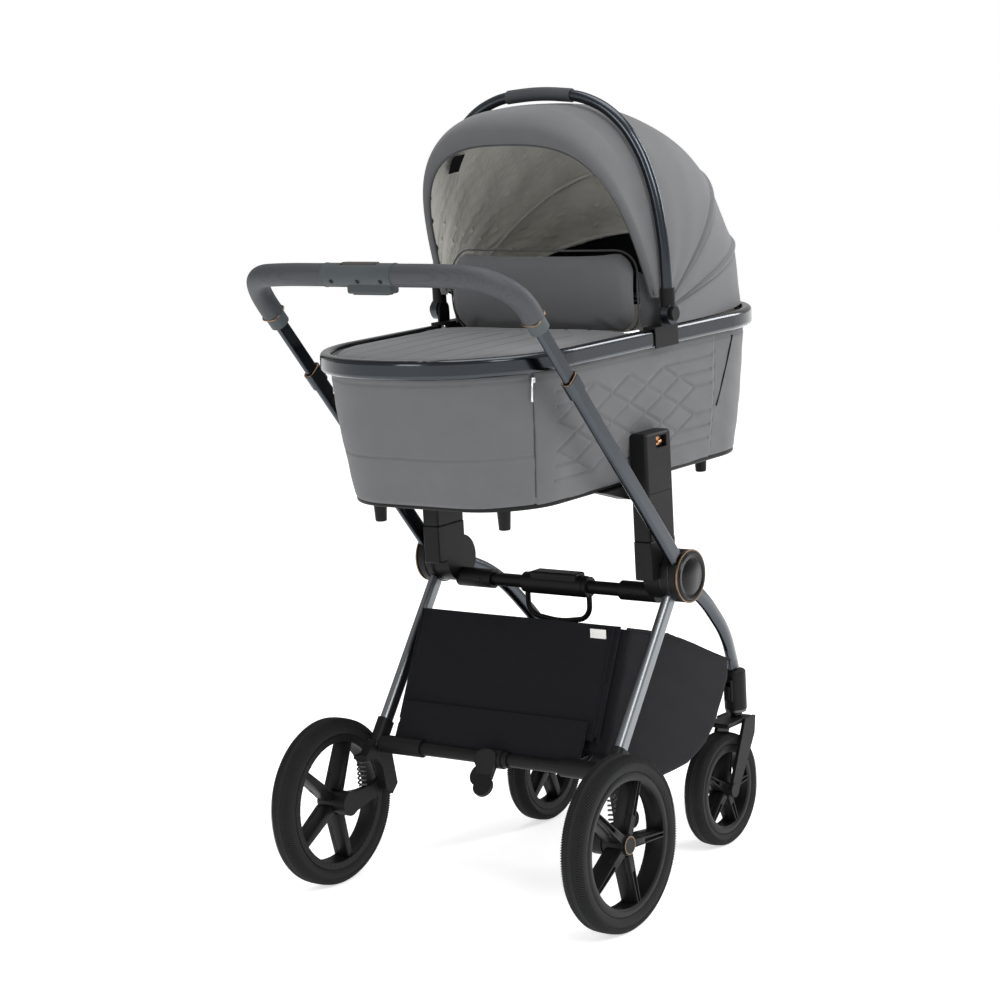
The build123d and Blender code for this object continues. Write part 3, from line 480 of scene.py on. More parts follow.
def rounded_block(size, centre, bevel, segments=2):
    """A cube primitive brought to a size, with its edges bevelled."""
    deselect()
    bpy.ops.mesh.primitive_cube_add(size=1, location=centre)
    obj = bpy.context.object
    obj.scale = size
    settle(obj)
    bpy.ops.object.mode_set(mode="EDIT")
    bpy.ops.mesh.select_all(action="SELECT")
    bpy.ops.mesh.bevel(offset=bevel, segments=segments, affect="EDGES")
    bpy.ops.object.mode_set(mode="OBJECT")
    return obj


def turned_copy(obj, centre, angle):
    """A copy with its own mesh, turned about an axis along X."""
    copy = obj.copy()
    copy.data = obj.data.copy()
    bpy.context.scene.collection.objects.link(copy)
    turn = Matrix.Rotation(angle, 4, "X")
    copy.data.transform(Matrix.Translation(centre) @ turn @ Matrix.Translation(-centre))
    return copy


def mirrored_copy(obj):
    copy = obj.copy()
    copy.data = obj.data.copy()
    bpy.context.scene.collection.objects.link(copy)
    copy.data.transform(Matrix.Scale(-1, 4, (1, 0, 0)))
    face_outwards(copy)
    return copy


def both_sides(obj, name, body, slot, material, angle):
    """Finish a right-hand piece and its mirror image; {} in the body's name stands for the side."""
    for side_name, make in (("left", mirrored_copy), ("right", lambda piece: piece)):
        finish_piece(make(obj), f"{name}_{side_name}", body.format(side_name), slot, material, angle)


def cord_along(name, points, radius, closed=False, sides=8):
    """Piping or wire: a round tube swept along points, as a mesh."""
    curve = bpy.data.curves.new(name, "CURVE")
    curve.dimensions = "3D"
    curve.bevel_depth = radius
    curve.bevel_resolution = max(1, sides // 4)
    spline = curve.splines.new("NURBS")
    spline.points.add(len(points) - 1)
    for point, place in zip(spline.points, points):
        point.co = (*place, 1)
    spline.use_cyclic_u = closed
    spline.order_u = 3
    spline.use_endpoint_u = not closed
    spline.resolution_u = 3
    obj = bpy.data.objects.new(name, curve)
    bpy.context.scene.collection.objects.link(obj)
    curve.use_fill_caps = True
    pick(obj)
    bpy.ops.object.convert(target="MESH")
    return bpy.context.object


def smooth_step(value, low, high):
    share = min(1.0, max(0.0, (value - low) / (high - low)))
    return share * share * (3 - 2 * share)


def puff(obj, voxel, cap, pressure=4.0, frames=20):
    """Pad a closed shape by cloth simulation, with each point's travel capped, and round it off."""
    add_modifier(obj, "REMESH", mode="VOXEL", voxel_size=voxel)
    before = np.array([v.co for v in obj.data.vertices])
    pick(obj)
    cloth = obj.modifiers.new("Cloth", "CLOTH")
    cloth.settings.use_pressure = True
    cloth.settings.uniform_pressure_force = pressure
    cloth.settings.tension_stiffness = 12
    cloth.settings.quality = 5
    cloth.settings.effector_weights.gravity = 0
    cloth.point_cache.frame_end = frames
    for step in range(1, frames + 1):
        bpy.context.scene.frame_set(step)
    evaluated = obj.evaluated_get(bpy.context.evaluated_depsgraph_get())
    after = np.array([v.co for v in evaluated.data.vertices])
    move = after - before
    far = np.linalg.norm(move, axis=1, keepdims=True)
    after = before + move * np.minimum(1, cap / np.maximum(far, 1e-9))
    obj.modifiers.remove(cloth)
    obj.data.vertices.foreach_set("co", after.ravel())
    bpy.context.scene.frame_set(1)
    add_modifier(obj, "SMOOTH", factor=0.5, iterations=3)
    return obj


def reshape(obj, change):
    """Move every point of a mesh by a rule on its coordinates."""
    points = np.array([v.co for v in obj.data.vertices])
    obj.data.vertices.foreach_set("co", change(points).ravel())
    obj.data.update()
    return obj


def grooves(distance, width):
    """1 on a sewn line, falling smoothly to 0 at its width."""
    share = np.minimum(1, np.abs(distance) / width)
    return (1 - share ** 2) ** 2


def zigzag(value):
    """A triangle wave from -1 to 1 with period 1."""
    return 4 * np.abs(value - np.floor(value + 0.5)) - 1


def outline_ring(width, length, corner, share):
    """Points and outward directions on a rounded rectangle, from the right side's middle towards +Y."""
    corner = min(corner, width / 2, length / 2)
    flat_x, flat_y, arc = width / 2 - corner, length / 2 - corner, pi / 2 * corner
    runs = [flat_y, arc, 2 * flat_x, arc, 2 * flat_y, arc, 2 * flat_x, arc, flat_y]
    starts = np.concatenate([[0], np.cumsum(runs)])
    way = np.asarray(share) % 1 * starts[-1]
    x, y = np.zeros_like(way), np.zeros_like(way)
    nx, ny = np.zeros_like(way), np.zeros_like(way)
    straights = {0: (width / 2, 0, 0, 1), 2: (flat_x, length / 2, -1, 0), 4: (-width / 2, flat_y, 0, -1),
                 6: (-flat_x, -length / 2, 1, 0), 8: (width / 2, -flat_y, 0, 1)}
    corners = {1: (flat_x, flat_y, 0), 3: (-flat_x, flat_y, 90), 5: (-flat_x, -flat_y, 180),
               7: (flat_x, -flat_y, 270)}
    for index in range(9):
        here = (way >= starts[index]) & (way <= starts[index + 1])
        step = way - starts[index]
        if index in straights:
            x0, y0, dx, dy = straights[index]
            values = (x0 + dx * step, y0 + dy * step, np.full_like(step, dy), np.full_like(step, -dx))
        else:
            x0, y0, turn = corners[index]
            angle = radians(turn) + step / corner
            values = (x0 + corner * np.cos(angle), y0 + corner * np.sin(angle), np.cos(angle), np.sin(angle))
        for target, value in zip((x, y, nx, ny), values):
            target[here] = value[here]
    return x, y, nx, ny


# ---------------------------------------------------------------- carrycot
BASE_W, BASE_L, BASE_CORNER = 0.366, 0.700, 0.112
MOUTH_CORNER = 0.189
BINDING = 0.010  # height of the black strip round the cot's floor
ZIP_LOW_Y, ZIP_HIGH_Y = -0.2655, -0.283  # the foot panel's seam at the floor and at the rim
FOOT_SEAM_Z, REAR_SEAM_Y = 0.739, 0.213
QUILT_Y, QUILT_TOP = -0.040, 0.832  # middle of the sewn diamonds and their highest line
DIAMOND_Y, DIAMOND_Z = 0.0485, 0.0228  # half a diamond's length and height
QUILT_ROWS, SLANT = 6, 0.88  # rows of half diamonds, and how much a slanted line narrows
QUILT_ENDS = ((0, 2), (1, 3), (2, 4), (4, 4), (5, 3), (6, 2))  # level lines: row, and where each begins


def zip_y(z):
    """Place along the cot of the foot panel's seam at a height."""
    return ZIP_LOW_Y + (ZIP_HIGH_Y - ZIP_LOW_Y) * (z - TUB_LO.z) / (TUB_HI.z - TUB_LO.z)


def cot_section(height, inset, share):
    """Outline of the cot's body at a height; it widens from the floor to the rim."""
    rise = (height - TUB_LO.z) / (TUB_HI.z - TUB_LO.z)
    mouth_w, mouth_l = TUB_HI.x - TUB_LO.x, TUB_HI.y - TUB_LO.y
    width = BASE_W + (mouth_w - BASE_W) * rise - 2 * inset
    length = BASE_L + (mouth_l - BASE_L) * rise - 2 * inset
    corner = BASE_CORNER + (MOUTH_CORNER - BASE_CORNER) * rise - inset
    return outline_ring(width, length, corner, share)


def side_quilt(y, z, width):
    """Sewn lines of the sides: a lattice of diamonds whose lines run out level at both ends."""
    along, row = np.abs(y - QUILT_Y) / DIAMOND_Y, (QUILT_TOP - z) / DIAMOND_Z
    depth = np.zeros_like(y)
    for level, end in QUILT_ENDS:
        depth = np.maximum(depth, grooves((row - level) * DIAMOND_Z, width) * (along >= end))
    cut = np.maximum(along - 2, 0)
    lattice = (along < 4) & (row >= cut - 0.02) & (row <= QUILT_ROWS + 0.02 - cut)
    for slope in (-1, 1):
        offset = (along * slope - row) / 2
        away = np.abs(offset - np.round(offset)) * 2 * DIAMOND_Z * SLANT
        depth = np.maximum(depth, grooves(away, width) * lattice)
    edges = (y > ZIP_HIGH_Y + 0.045) & (y < REAR_SEAM_Y - 0.008)
    return depth * edges


def build_cot_body(fabric):
    """Outer cloth of the cot, with its quilted sides, seams and zips."""
    columns, rows = 900, 84
    share = np.arange(columns) / columns
    seam = fabric.seam_width
    points = []
    for row in range(rows + 1):
        z = TUB_LO.z + BINDING * 0.6 + (TUB_HI.z - TUB_LO.z - BINDING * 0.6) * row / rows
        x, y, nx, ny = cot_section(z, 0.0, share)
        y = y + COT_Y
        tall = (z - TUB_LO.z) / (TUB_HI.z - TUB_LO.z)
        swell = 0.003 * sin(pi * tall) - 0.004 * (1 - smooth_step(z - TUB_LO.z, 0, 0.012))
        on_side = np.abs(nx) > 0.85
        quilt = np.where(on_side, side_quilt(y, z, seam * 1.5), 0)
        puffed = np.where(on_side & (y > zip_y(z)) & (y < REAR_SEAM_Y), 0.0012, 0)
        lines = np.maximum(grooves(y - zip_y(z), seam * 1.1), grooves(y - REAR_SEAM_Y, seam) * (z < 0.857))
        lines = np.maximum(lines, grooves(z - FOOT_SEAM_Z, seam) * (y < zip_y(z)))
        lines = np.maximum(lines, grooves(z - 0.857, seam))
        ripple = 0.0006 * np.sin(y * 61 + z * 37) * np.sin(z * 83 + y * 17)
        out = swell + puffed + ripple - fabric.quilt_depth * quilt - 0.0014 * lines
        points.append(np.stack([x + nx * out, y + ny * out, np.full_like(x, z)], axis=1))
    flat = np.concatenate(points)
    faces = [(j * columns + i, j * columns + (i + 1) % columns, (j + 1) * columns + (i + 1) % columns,
              (j + 1) * columns + i) for j in range(rows) for i in range(columns)]
    body = mesh_object("cot_body", flat, faces)
    face_outwards(body)
    finish_piece(body, "cot_body", "carrycot", "grey_twill", "Grey twill", 60)
    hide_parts("cot_tub")


def cot_plate(name, low, high, inset, slot, material, bevel):
    """A flat plate with the outline of the cot's floor."""
    x, y, _, _ = cot_section(low, inset, np.arange(160) / 160)
    ring = [(a, b + COT_Y, low) for a, b in zip(x, y)]
    plate = extruded_plate(name, ring, (0, 0, high - low))
    add_modifier(plate, "BEVEL", width=bevel, segments=3, angle_limit=radians(50))
    return finish_piece(plate, name, "carrycot", slot, material)


def build_cot_lining():
    """Light lining of the cot's walls."""
    columns, rows = 220, 30

    def place(u, v):
        z = TUB_LO.z + 0.008 + (RIM_HI.z - 0.010 - TUB_LO.z - 0.008) * v
        x, y, nx, ny = cot_section(min(z, TUB_HI.z), 0.008, np.array([u]))
        wave = 0.0015 * sin(v * 5 * pi) * sin(u * 80 * pi)
        return x[0] - nx[0] * wave, y[0] + COT_Y - ny[0] * wave, z

    lining = cloth_grid("cot_lining", place, rows, columns, closed=True)
    face_outwards(lining, inside=True)
    finish_piece(lining, "cot_lining", "carrycot", "mattress_white", "Quilted liner", 60)


def build_mattress():
    """Soft mattress, padded by a short puff of cloth simulation."""
    low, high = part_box("mattress")
    mattress = cot_plate("mattress_pad", low.z + 0.004, high.z - 0.008, 0.020, "mattress_white",
                         "Mattress knit", 0.01)
    mattress.parent = None
    puff(mattress, 0.008, 0.006)
    finish_piece(mattress, "mattress_pad", "carrycot", "mattress_white", "Mattress knit", 60)
    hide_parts("mattress")


def build_apron(fabric):
    """Padded cover over the foot half, with its sewn channels and zip edge."""
    gap = 0.003
    rim_t = 0.018
    width, length = RIM_HI.x - RIM_LO.x - 2 * rim_t - gap, RIM_HI.y - RIM_LO.y - 2 * rim_t - gap
    x, y, _, _ = outline_ring(width, length, 0.183, np.arange(240) / 240)
    y = y + COT_Y
    edge_y = 0.0
    ring = [(a, b, FLAP_LO.z + 0.002) for a, b in zip(x, y) if b < edge_y]
    ring.sort(key=lambda p: atan2(p[1] - edge_y + 0.001, p[0]))
    ring = [(ring[0][0], edge_y, ring[0][2])] + ring + [(ring[-1][0], edge_y, ring[0][2])]
    cover = extruded_plate("apron_cover", ring, (0, 0, 0.007))
    puff(cover, 0.005, 0.005)
    add_modifier(cover, "SUBSURF", levels=1, render_levels=1)

    def inside_edge(p):
        across = 1 - (np.abs(p[:, 0]) / (width / 2)) ** 4
        along = 1 - (np.maximum(0, -p[:, 1]) / (length / 2 - COT_Y)) ** 4
        return np.clip(across, 0, 1) * np.clip(along, 0, 1)

    def sew(p):
        fan = np.abs(p[:, 0]) + np.maximum(0, p[:, 1] + 0.09) * 0.9
        channel = np.abs((fan + 0.0225) % 0.045 - 0.0225)
        sewn = 0.0022 * grooves(channel, fabric.seam_width * 1.6)
        top = p[:, 2] > FLAP_LO.z + 0.004
        p[:, 2] += np.where(top, (0.006 - sewn) * inside_edge(p), 0)
        return p

    reshape(cover, sew)
    finish_piece(cover, "apron_cover", "carrycot", "grey_twill", "Grey twill", 60)
    binding = [(a * 0.997, b, FLAP_LO.z + 0.0085) for a, b, _ in ring[1:-1:3]]
    edge = cord_along("apron_zip", binding, 0.0022)
    finish_piece(edge, "apron_zip", "carrycot", "black_fabric", "Edge binding")
    for side_name, side in SIDES:
        pull = build_zip_pull((side * width / 2 * 0.95, 0.004, FLAP_LO.z + 0.014), (-side * 0.7, -0.7, -0.1))
        finish_piece(pull, f"apron_pull_{side_name}", "carrycot", "bronze", "Zip metal")
    return cover


def build_zip_pull(place, lean, length=0.022):
    """A small zip slider with its pull tab hanging along a direction."""
    slider = rounded_block((0.007, 0.005, 0.009), (0, 0, 0.002), 0.0012)
    tab = rounded_block((0.0045, 0.0014, length), (0, -0.002, -length / 2), 0.0006)
    ring = rounded_block((0.0055, 0.0018, 0.006), (0, -0.002, -length), 0.0008)
    pull = join(slider, tab, ring)
    turn = Vector((0, 0, -1)).rotation_difference(Vector(lean).normalized()).to_matrix().to_4x4()
    pull.data.transform(Matrix.Translation(Vector(place)) @ turn)
    return pull


def build_wind_flap():
    """Padded wind flap that stands up from the apron's edge."""
    half, low, top, corner = 0.183, FLAP_LO.z + 0.006, FLAP_HI.z - 0.003, 0.040
    mid = (low + top) / 2
    x, z, _, _ = outline_ring(2 * half, top - low, corner, np.arange(120) / 120)
    ring = [(a, 0.004, b + mid) for a, b in zip(x, z)]
    flap = extruded_plate("wind_flap", ring, (0, 0.008, 0))
    puff(flap, 0.005, 0.007)
    add_modifier(flap, "SUBSURF", levels=1, render_levels=1)

    def lean(p):
        up = (p[:, 2] - low) / (top - low)
        p[:, 1] += 0.022 * (p[:, 0] / half) ** 2 - 0.010 * np.sin(pi * np.clip(up, 0, 1)) + 0.004
        p[:, 1] += 0.0012 * np.sin(p[:, 0] * 55 + p[:, 2] * 20) * np.clip(0.5 - up, 0, 1)
        return p

    reshape(flap, lean)
    finish_piece(flap, "wind_flap", "carrycot", "grey_twill", "Grey twill", 60)
    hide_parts("cot_apron")
    edge = reshape(cord_along("flap_piping", ring, 0.0014, closed=True), lean)
    reshape(edge, lambda p: p + np.array([0, 0.004, 0]))
    finish_piece(edge, "flap_piping", "carrycot", "grey_twill", "Edge binding")


def build_flap_wings():
    """Gussets between the wind flap's ends and the hood's feet."""
    low = RIM_HI.z + 0.002
    for side_name, side in SIDES:
        def place(u, v):
            top = 0.985 - 0.045 * u
            bend = 0.004 * sin(pi * u) * sin(pi * v)
            return side * (0.181 + 0.024 * u ** 0.7 + bend), 0.032 + 0.040 * u, low + (top - low) * v

        wing = cloth_grid("flap_wing", place, 12, 10)
        add_modifier(wing, "SOLIDIFY", thickness=0.002, offset=0)
        face_outwards(wing)
        # the gussets take the darkened twill copy, which is painted shade
        finish_piece(wing, f"flap_wing_{side_name}", "carrycot", "grey_twill", "Shadow twill", 50)


def build_cot_zips():
    """Upright zips at the foot end and the vents at the head end."""
    for side_name, side in SIDES:
        share = np.linspace(0.0, 1.0, 12)
        line = []
        for step in share:
            z = TUB_LO.z + 0.018 + (TUB_HI.z - 0.012 - TUB_LO.z - 0.018) * step
            line.append(side_point(z, zip_y(z), side, -0.0003))
        zip_edge = cord_along("cot_zip", line, 0.0011)
        finish_piece(zip_edge, f"cot_zip_{side_name}", "carrycot", "black_fabric", "Edge binding")
        top = side_point(TUB_HI.z - 0.012, ZIP_HIGH_Y, side, 0.0035)
        pull = build_zip_pull(top, (-side * 0.06, -0.03, -1), 0.028)
        finish_piece(pull, f"cot_zip_pull_{side_name}", "carrycot", "bronze", "Zip metal")
        vent = [side_point(0.856 - 0.111 * step, 0.270 - 0.046 * step, side, 0.0002) for step in share]
        slit = cord_along("cot_vent", vent, 0.0016)
        finish_piece(slit, f"cot_vent_{side_name}", "carrycot", "black_fabric", "Vent mesh")


def side_point(z, y, side, out):
    """A point on the cot's side at a height and a length, moved outwards."""
    shares = np.linspace(-0.25, 0.25, 2001)
    x, ys, nx, ny = cot_section(z, 0.0, shares)
    best = int(np.argmin(np.abs(ys + COT_Y - y)))
    swell = 0.003 * sin(pi * (z - TUB_LO.z) / (TUB_HI.z - TUB_LO.z)) + out
    return side * (x[best] + nx[best] * swell), ys[best] + COT_Y + ny[best] * swell, z


# ---------------------------------------------------------------- hood
ARCH_HALF, ARCH_RISE, ARCH_POWER = 0.214, 0.335, 2.8
ARCH_STRETCH = 1.2  # the hood is longer than it is high
HEM_ANGLE = 93.6
MIDDLE_BOW, REAR_BOW = 50.0, 73.0  # tilt of the hood's two inner bows
BOWS = (-15.5, MIDDLE_BOW, REAR_BOW, HEM_ANGLE)
SAGS = (0.010, 0.034, 0.022)


def arch_shares(count):
    """Turns along a hood arch that give evenly spaced points, from the right foot to the left."""
    turn = np.linspace(radians(1.7), pi - radians(1.7), 4000)
    x, r = arch_shape(turn, ARCH_HALF, ARCH_RISE)
    way = np.concatenate([[0], np.cumsum(np.hypot(np.diff(x), np.diff(r)))])
    return np.interp(np.linspace(0, way[-1], count), way, turn)


def arch_shape(turn, half, rise):
    """Sideways and upward reach of an arch at a turn."""
    side = np.sign(np.cos(turn)) * np.abs(np.cos(turn)) ** (2 / ARCH_POWER)
    return half * side, rise * np.abs(np.sin(turn)) ** (2 / ARCH_POWER)


def hood_point(x, reach, angle):
    """Place of an arch's point when the arch is tilted by an angle from upright."""
    return np.stack([x, PIVOT.y + reach * np.sin(np.radians(angle)) * ARCH_STRETCH,
                     PIVOT.z + reach * np.cos(np.radians(angle))], axis=-1)


def hood_sag(angle):
    """How far the cloth dips between its bows, as a share of the reach."""
    for low, high, sag in zip(BOWS, BOWS[1:], SAGS):
        if low <= angle <= high:
            return sag * sin(pi * (angle - low) / (high - low))
    return 0.0


def hood_rows(fabric):
    """Rows of the hood's cloth as (angle, reach scale, width scale), from the visor's inner edge back."""
    lip = fabric.visor_band / ARCH_RISE
    rows = []
    for step in np.linspace(0, 1, 22):
        angle = (1 - step) ** 2 * -17.6 + 2 * step * (1 - step) * -21.5 + step ** 2 * -9.0
        scale = (1 - step) ** 2 * (1 - lip) + 2 * step * (1 - step) * 1.008 + step ** 2 * 1.0
        rows.append((angle, scale, 0.935 + 0.065 * smooth_step(step, 0, 0.6)))
    for angle in np.linspace(-8.4, HEM_ANGLE, 140):
        rows.append((angle, 1 - hood_sag(angle), 1.0))
    return rows


def hood_sheet(name, rows, turns, ripple, skirt=0):
    """A sheet over tilted arches; ripple adds a small reach, and skirt rows drop from the hem to the rim."""
    count = len(turns)
    points = []
    for angle, scale, wide in rows:
        x, reach = arch_shape(turns, ARCH_HALF, ARCH_RISE)
        crown = np.sin(turns) ** 1.2
        extra = ripple(angle, turns)
        reach = reach * (1 + (scale - 1) * crown) + extra * crown
        side = x * (1 + (wide - 1)) + np.cos(turns) * extra
        points.append(hood_point(side, reach, angle))
    hem = points[-1]
    for step in range(1, skirt + 1):
        share = step / skirt
        drop = np.maximum(0, hem[:, 2] - RIM_HI.z - 0.0012 + 0.0002 * step) * share
        points.append(hem - drop[:, None] * np.array([0, 0, 1]))
    flat = np.concatenate(points)
    faces = [(j * count + i, j * count + i + 1, (j + 1) * count + i + 1, (j + 1) * count + i)
             for j in range(len(points) - 1) for i in range(count - 1)]
    return mesh_object(name, flat, faces)


def hang_hood(obj, slot, material, name, angle=60):
    """Finish a hood piece, which spans the cot and the hood's front, on no body, with its place baked into
    its mesh.
    """
    finish_piece(obj, name, None, slot, material, angle)
    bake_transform(obj)
    return obj


def build_hood(fabric):
    """Outer cloth of the hood with its visor, bow ridges, liner and bindings."""
    turns = arch_shares(260)
    rib = fabric.rib_height

    def outer_ripple(angle, turns):
        ridge = 0
        for bow in (MIDDLE_BOW, REAR_BOW):
            ridge += grooves(angle - bow, 1.6) - 0.6 * grooves(abs(angle - bow) - 2.0, 0.8)
        soft = 0.0008 * np.sin(turns * 9 + angle * 0.13) * np.sin(angle * 0.21)
        return rib * ridge + soft

    rows = hood_rows(fabric)
    outer = hood_sheet("hood_cloth", rows, turns, outer_ripple, skirt=4)
    face_outwards(outer)
    reshape_hem(outer)
    add_modifier(outer, "SOLIDIFY", thickness=0.0018, offset=-1)
    hang_hood(outer, "grey_twill", "Grey twill", "hood_cloth")
    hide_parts("hood_canopy")
    first = [tuple(p) for p in sheet_row(rows[0], turns[::4])]
    hang_hood(cord_along("visor_piping", first, 0.0017), "black_fabric", "Edge binding", "visor_piping")
    build_hood_liner(turns[::2])
    build_hood_tab()


def build_hood_tab():
    """Black strap tab sewn inside the visor's edge."""
    rows = [(angle, 1.0, 1.0) for angle in np.linspace(-8.0, -2.5, 9)]
    across = np.radians(np.linspace(132.0, 141.0, 9))
    tab = hood_sheet("hood_tab", rows, across, lambda angle, turns: -0.021)
    add_modifier(tab, "SOLIDIFY", thickness=0.0016, offset=0)
    face_outwards(tab)
    hang_hood(tab, "black_fabric", "Black cloth", "hood_tab")


def sheet_row(row, turns, grow=0.0):
    """Points of one row of the hood, grown outwards."""
    angle, scale, wide = row
    x, reach = arch_shape(turns, ARCH_HALF, ARCH_RISE)
    reach = reach * (1 + (scale - 1) * np.sin(turns) ** 1.2) + grow * np.sin(turns)
    return hood_point(x * wide + grow * np.cos(turns), reach, angle)


def reshape_hem(obj):
    """Keep the hem on the rim where the rear arch would cut into it."""
    return reshape(obj, lambda p: np.maximum(p, np.array([-np.inf, -np.inf, RIM_HI.z + 0.0012])))


def build_hood_liner(turns):
    """Quilted liner under the bows, its bindings, and the dark vent panel behind the last bow."""
    def quilted(angle, turns):
        along = turns * 3.4
        ladder = grooves(zigzag(angle / 11 + along), 0.22)
        ladder += 0.7 * grooves(zigzag(along * 1.3 - angle / 17), 0.16)
        crease = 0.003 * np.sin(angle * 0.35 + np.sin(turns * 4) * 3) * np.sin(turns * 7 + angle * 0.1)
        return -0.012 + 0.0034 * (1 - ladder) + crease

    light = [(angle, 1 - hood_sag(angle), 1.0) for angle in np.linspace(-13.5, REAR_BOW, 130)]
    dark = [(angle, 1 - hood_sag(angle), 1.0) for angle in np.linspace(REAR_BOW, 92.0, 24)]
    liner = hood_sheet("hood_liner", light, turns, quilted)
    face_outwards(liner, inside=True)
    hang_hood(liner, "mattress_white", "Quilted liner", "hood_liner")
    vent = hood_sheet("hood_vent", dark, turns, lambda angle, turns: -0.011)
    reshape_hem(vent)
    face_outwards(vent, inside=True)
    hang_hood(vent, "black_fabric", "Vent mesh", "hood_vent")
    for label, bow in (("middle", MIDDLE_BOW), ("rear", REAR_BOW)):
        line = [tuple(p) for p in sheet_row((bow - 1.0, 0.97, 0.96), turns[::3], -0.004)]
        hang_hood(cord_along("bow_binding", line, 0.0032), "mattress_white", "Mattress knit",
                  f"bow_binding_{label}")


# ---------------------------------------------------------------- basket
BASKET_PROFILE = [(-0.070, 0.430), (0.047, 0.400), (0.193, 0.330), (0.231, 0.315), (0.229, 0.281),
                  (0.187, 0.226), (0.152, 0.190), (0.093, 0.168), (0.014, 0.166), (-0.120, 0.196),
                  (-0.158, 0.245)]
TOP_CORNERS = 4  # the profile's first points, which bound the basket's open top
REAR_LEAN = (BASKET_PROFILE[0][0] - BASKET_PROFILE[-1][0]) / (BASKET_PROFILE[0][1] - BASKET_PROFILE[-1][1])


def slack(p, middle, size, amount):
    """How much cloth hangs free at a point: 0 at a panel's edges, and a limit in its middle."""
    share = np.clip(np.abs((p - middle) / size), 0, 1)
    return amount * np.prod(1 - share ** 2, axis=1)


def build_basket():
    """Sewn basket: sides, floor and rear wall, which sag and crease a little."""
    half = BASKET_HI.x - 0.003
    ring = [(-half, y, z) for y, z in BASKET_PROFILE]
    tub = extruded_plate("basket_cloth", ring, (2 * half, 0, 0))
    open_top(tub)
    add_modifier(tub, "BEVEL", width=0.013, segments=4, angle_limit=radians(50))
    cut_into_cells(tub, 0.011)
    reshape(tub, basket_drape)
    add_modifier(tub, "SMOOTH", factor=0.5, iterations=2)
    add_modifier(tub, "SOLIDIFY", thickness=0.0022, offset=-1)
    finish_piece(tub, "basket_cloth", "chassis", "black_fabric", "Black cloth", 50)
    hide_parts("basket")
    fold_with_frame(tub)
    build_basket_panels(half)


def fold_with_frame(obj):
    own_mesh(obj)


def open_top(tub):
    """Delete the faces over the basket's mouth."""
    mesh = bmesh.new()
    mesh.from_mesh(tub.data)
    mouth = []
    for face in mesh.faces:
        centre = face.calc_center_median()
        for (y0, z0), (y1, z1) in zip(BASKET_PROFILE[:TOP_CORNERS], BASKET_PROFILE[1:TOP_CORNERS]):
            if abs(centre.x) < 0.1 and hypot(centre.y - (y0 + y1) / 2, centre.z - (z0 + z1) / 2) < 1e-3:
                mouth.append(face)
    bmesh.ops.delete(mesh, geom=mouth, context="FACES")
    mesh.to_mesh(tub.data)
    mesh.free()


def cut_into_cells(obj, size):
    """Cut a mesh by evenly spaced planes in three directions, so that it can drape."""
    low = np.array([v.co for v in obj.data.vertices]).min(axis=0)
    high = np.array([v.co for v in obj.data.vertices]).max(axis=0)
    mesh = bmesh.new()
    mesh.from_mesh(obj.data)
    for axis in range(3):
        normal = Vector([float(axis == k) for k in range(3)])
        for place in np.arange(low[axis] + size / 2, high[axis], size):
            every = mesh.verts[:] + mesh.edges[:] + mesh.faces[:]
            cut = normal * float(place)
            bmesh.ops.bisect_plane(mesh, geom=every, plane_co=cut, plane_no=normal, dist=1e-5)
    mesh.to_mesh(obj.data)
    mesh.free()


def basket_drape(p):
    """Sides bulge, the floor sags and the cloth creases softly towards its corners."""
    middle_y, middle_z = 0.04, 0.275
    side = np.abs(p[:, 0]) > BASKET_HI.x - 0.02
    bulge = slack(p[:, 1:], np.array([middle_y, middle_z]), np.array([0.19, 0.12]), 0.007)
    p[:, 0] += np.where(side, np.sign(p[:, 0]) * bulge, 0)
    flat = slack(p[:, :2], np.array([0, 0.03]), np.array([0.19, 0.13]), 0.004)
    p[:, 2] -= np.where(p[:, 2] < 0.21, flat, 0)
    wrinkle = 0.0014 * np.sin(p[:, 2] * 90 + p[:, 1] * 40) * np.sin(p[:, 1] * 23 + p[:, 2] * 15 + 1)
    p[:, 0] += np.where(side, wrinkle, 0)
    return p


def rear_cloth(name, half_left, half_right, low, high, stand, corner, swell):
    """A panel that hangs on the basket's rear wall between two heights."""
    rows, columns = 44, 64

    def place(u, v):
        x = half_left + (half_right - half_left) * u
        z = low + (high - low) * v
        y = BASKET_PROFILE[0][0] - (BASKET_PROFILE[0][1] - z) * REAR_LEAN
        edge = min(u, 1 - u) * (half_right - half_left)
        drop = max(0.0, corner - edge) ** 2 / (2 * corner) if v < 0.5 else 0
        soft = 0.0016 * sin(9 * u + 5 * v) * sin(7 * v + 2) * min(1, edge / 0.02)
        out = stand + swell * sin(pi * u) ** 0.5 * sin(pi * v) ** 0.7 + soft
        return x, y - out, z + drop * (1 - v)

    panel = cloth_grid(name, place, rows, columns)
    face_outwards(panel)
    add_modifier(panel, "SOLIDIFY", thickness=0.003, offset=0)
    add_modifier(panel, "BEVEL", width=0.001, segments=2, angle_limit=radians(60))
    finish_piece(panel, name, "chassis", "black_fabric", "Black cloth", 50)
    fold_with_frame(panel)
    return panel


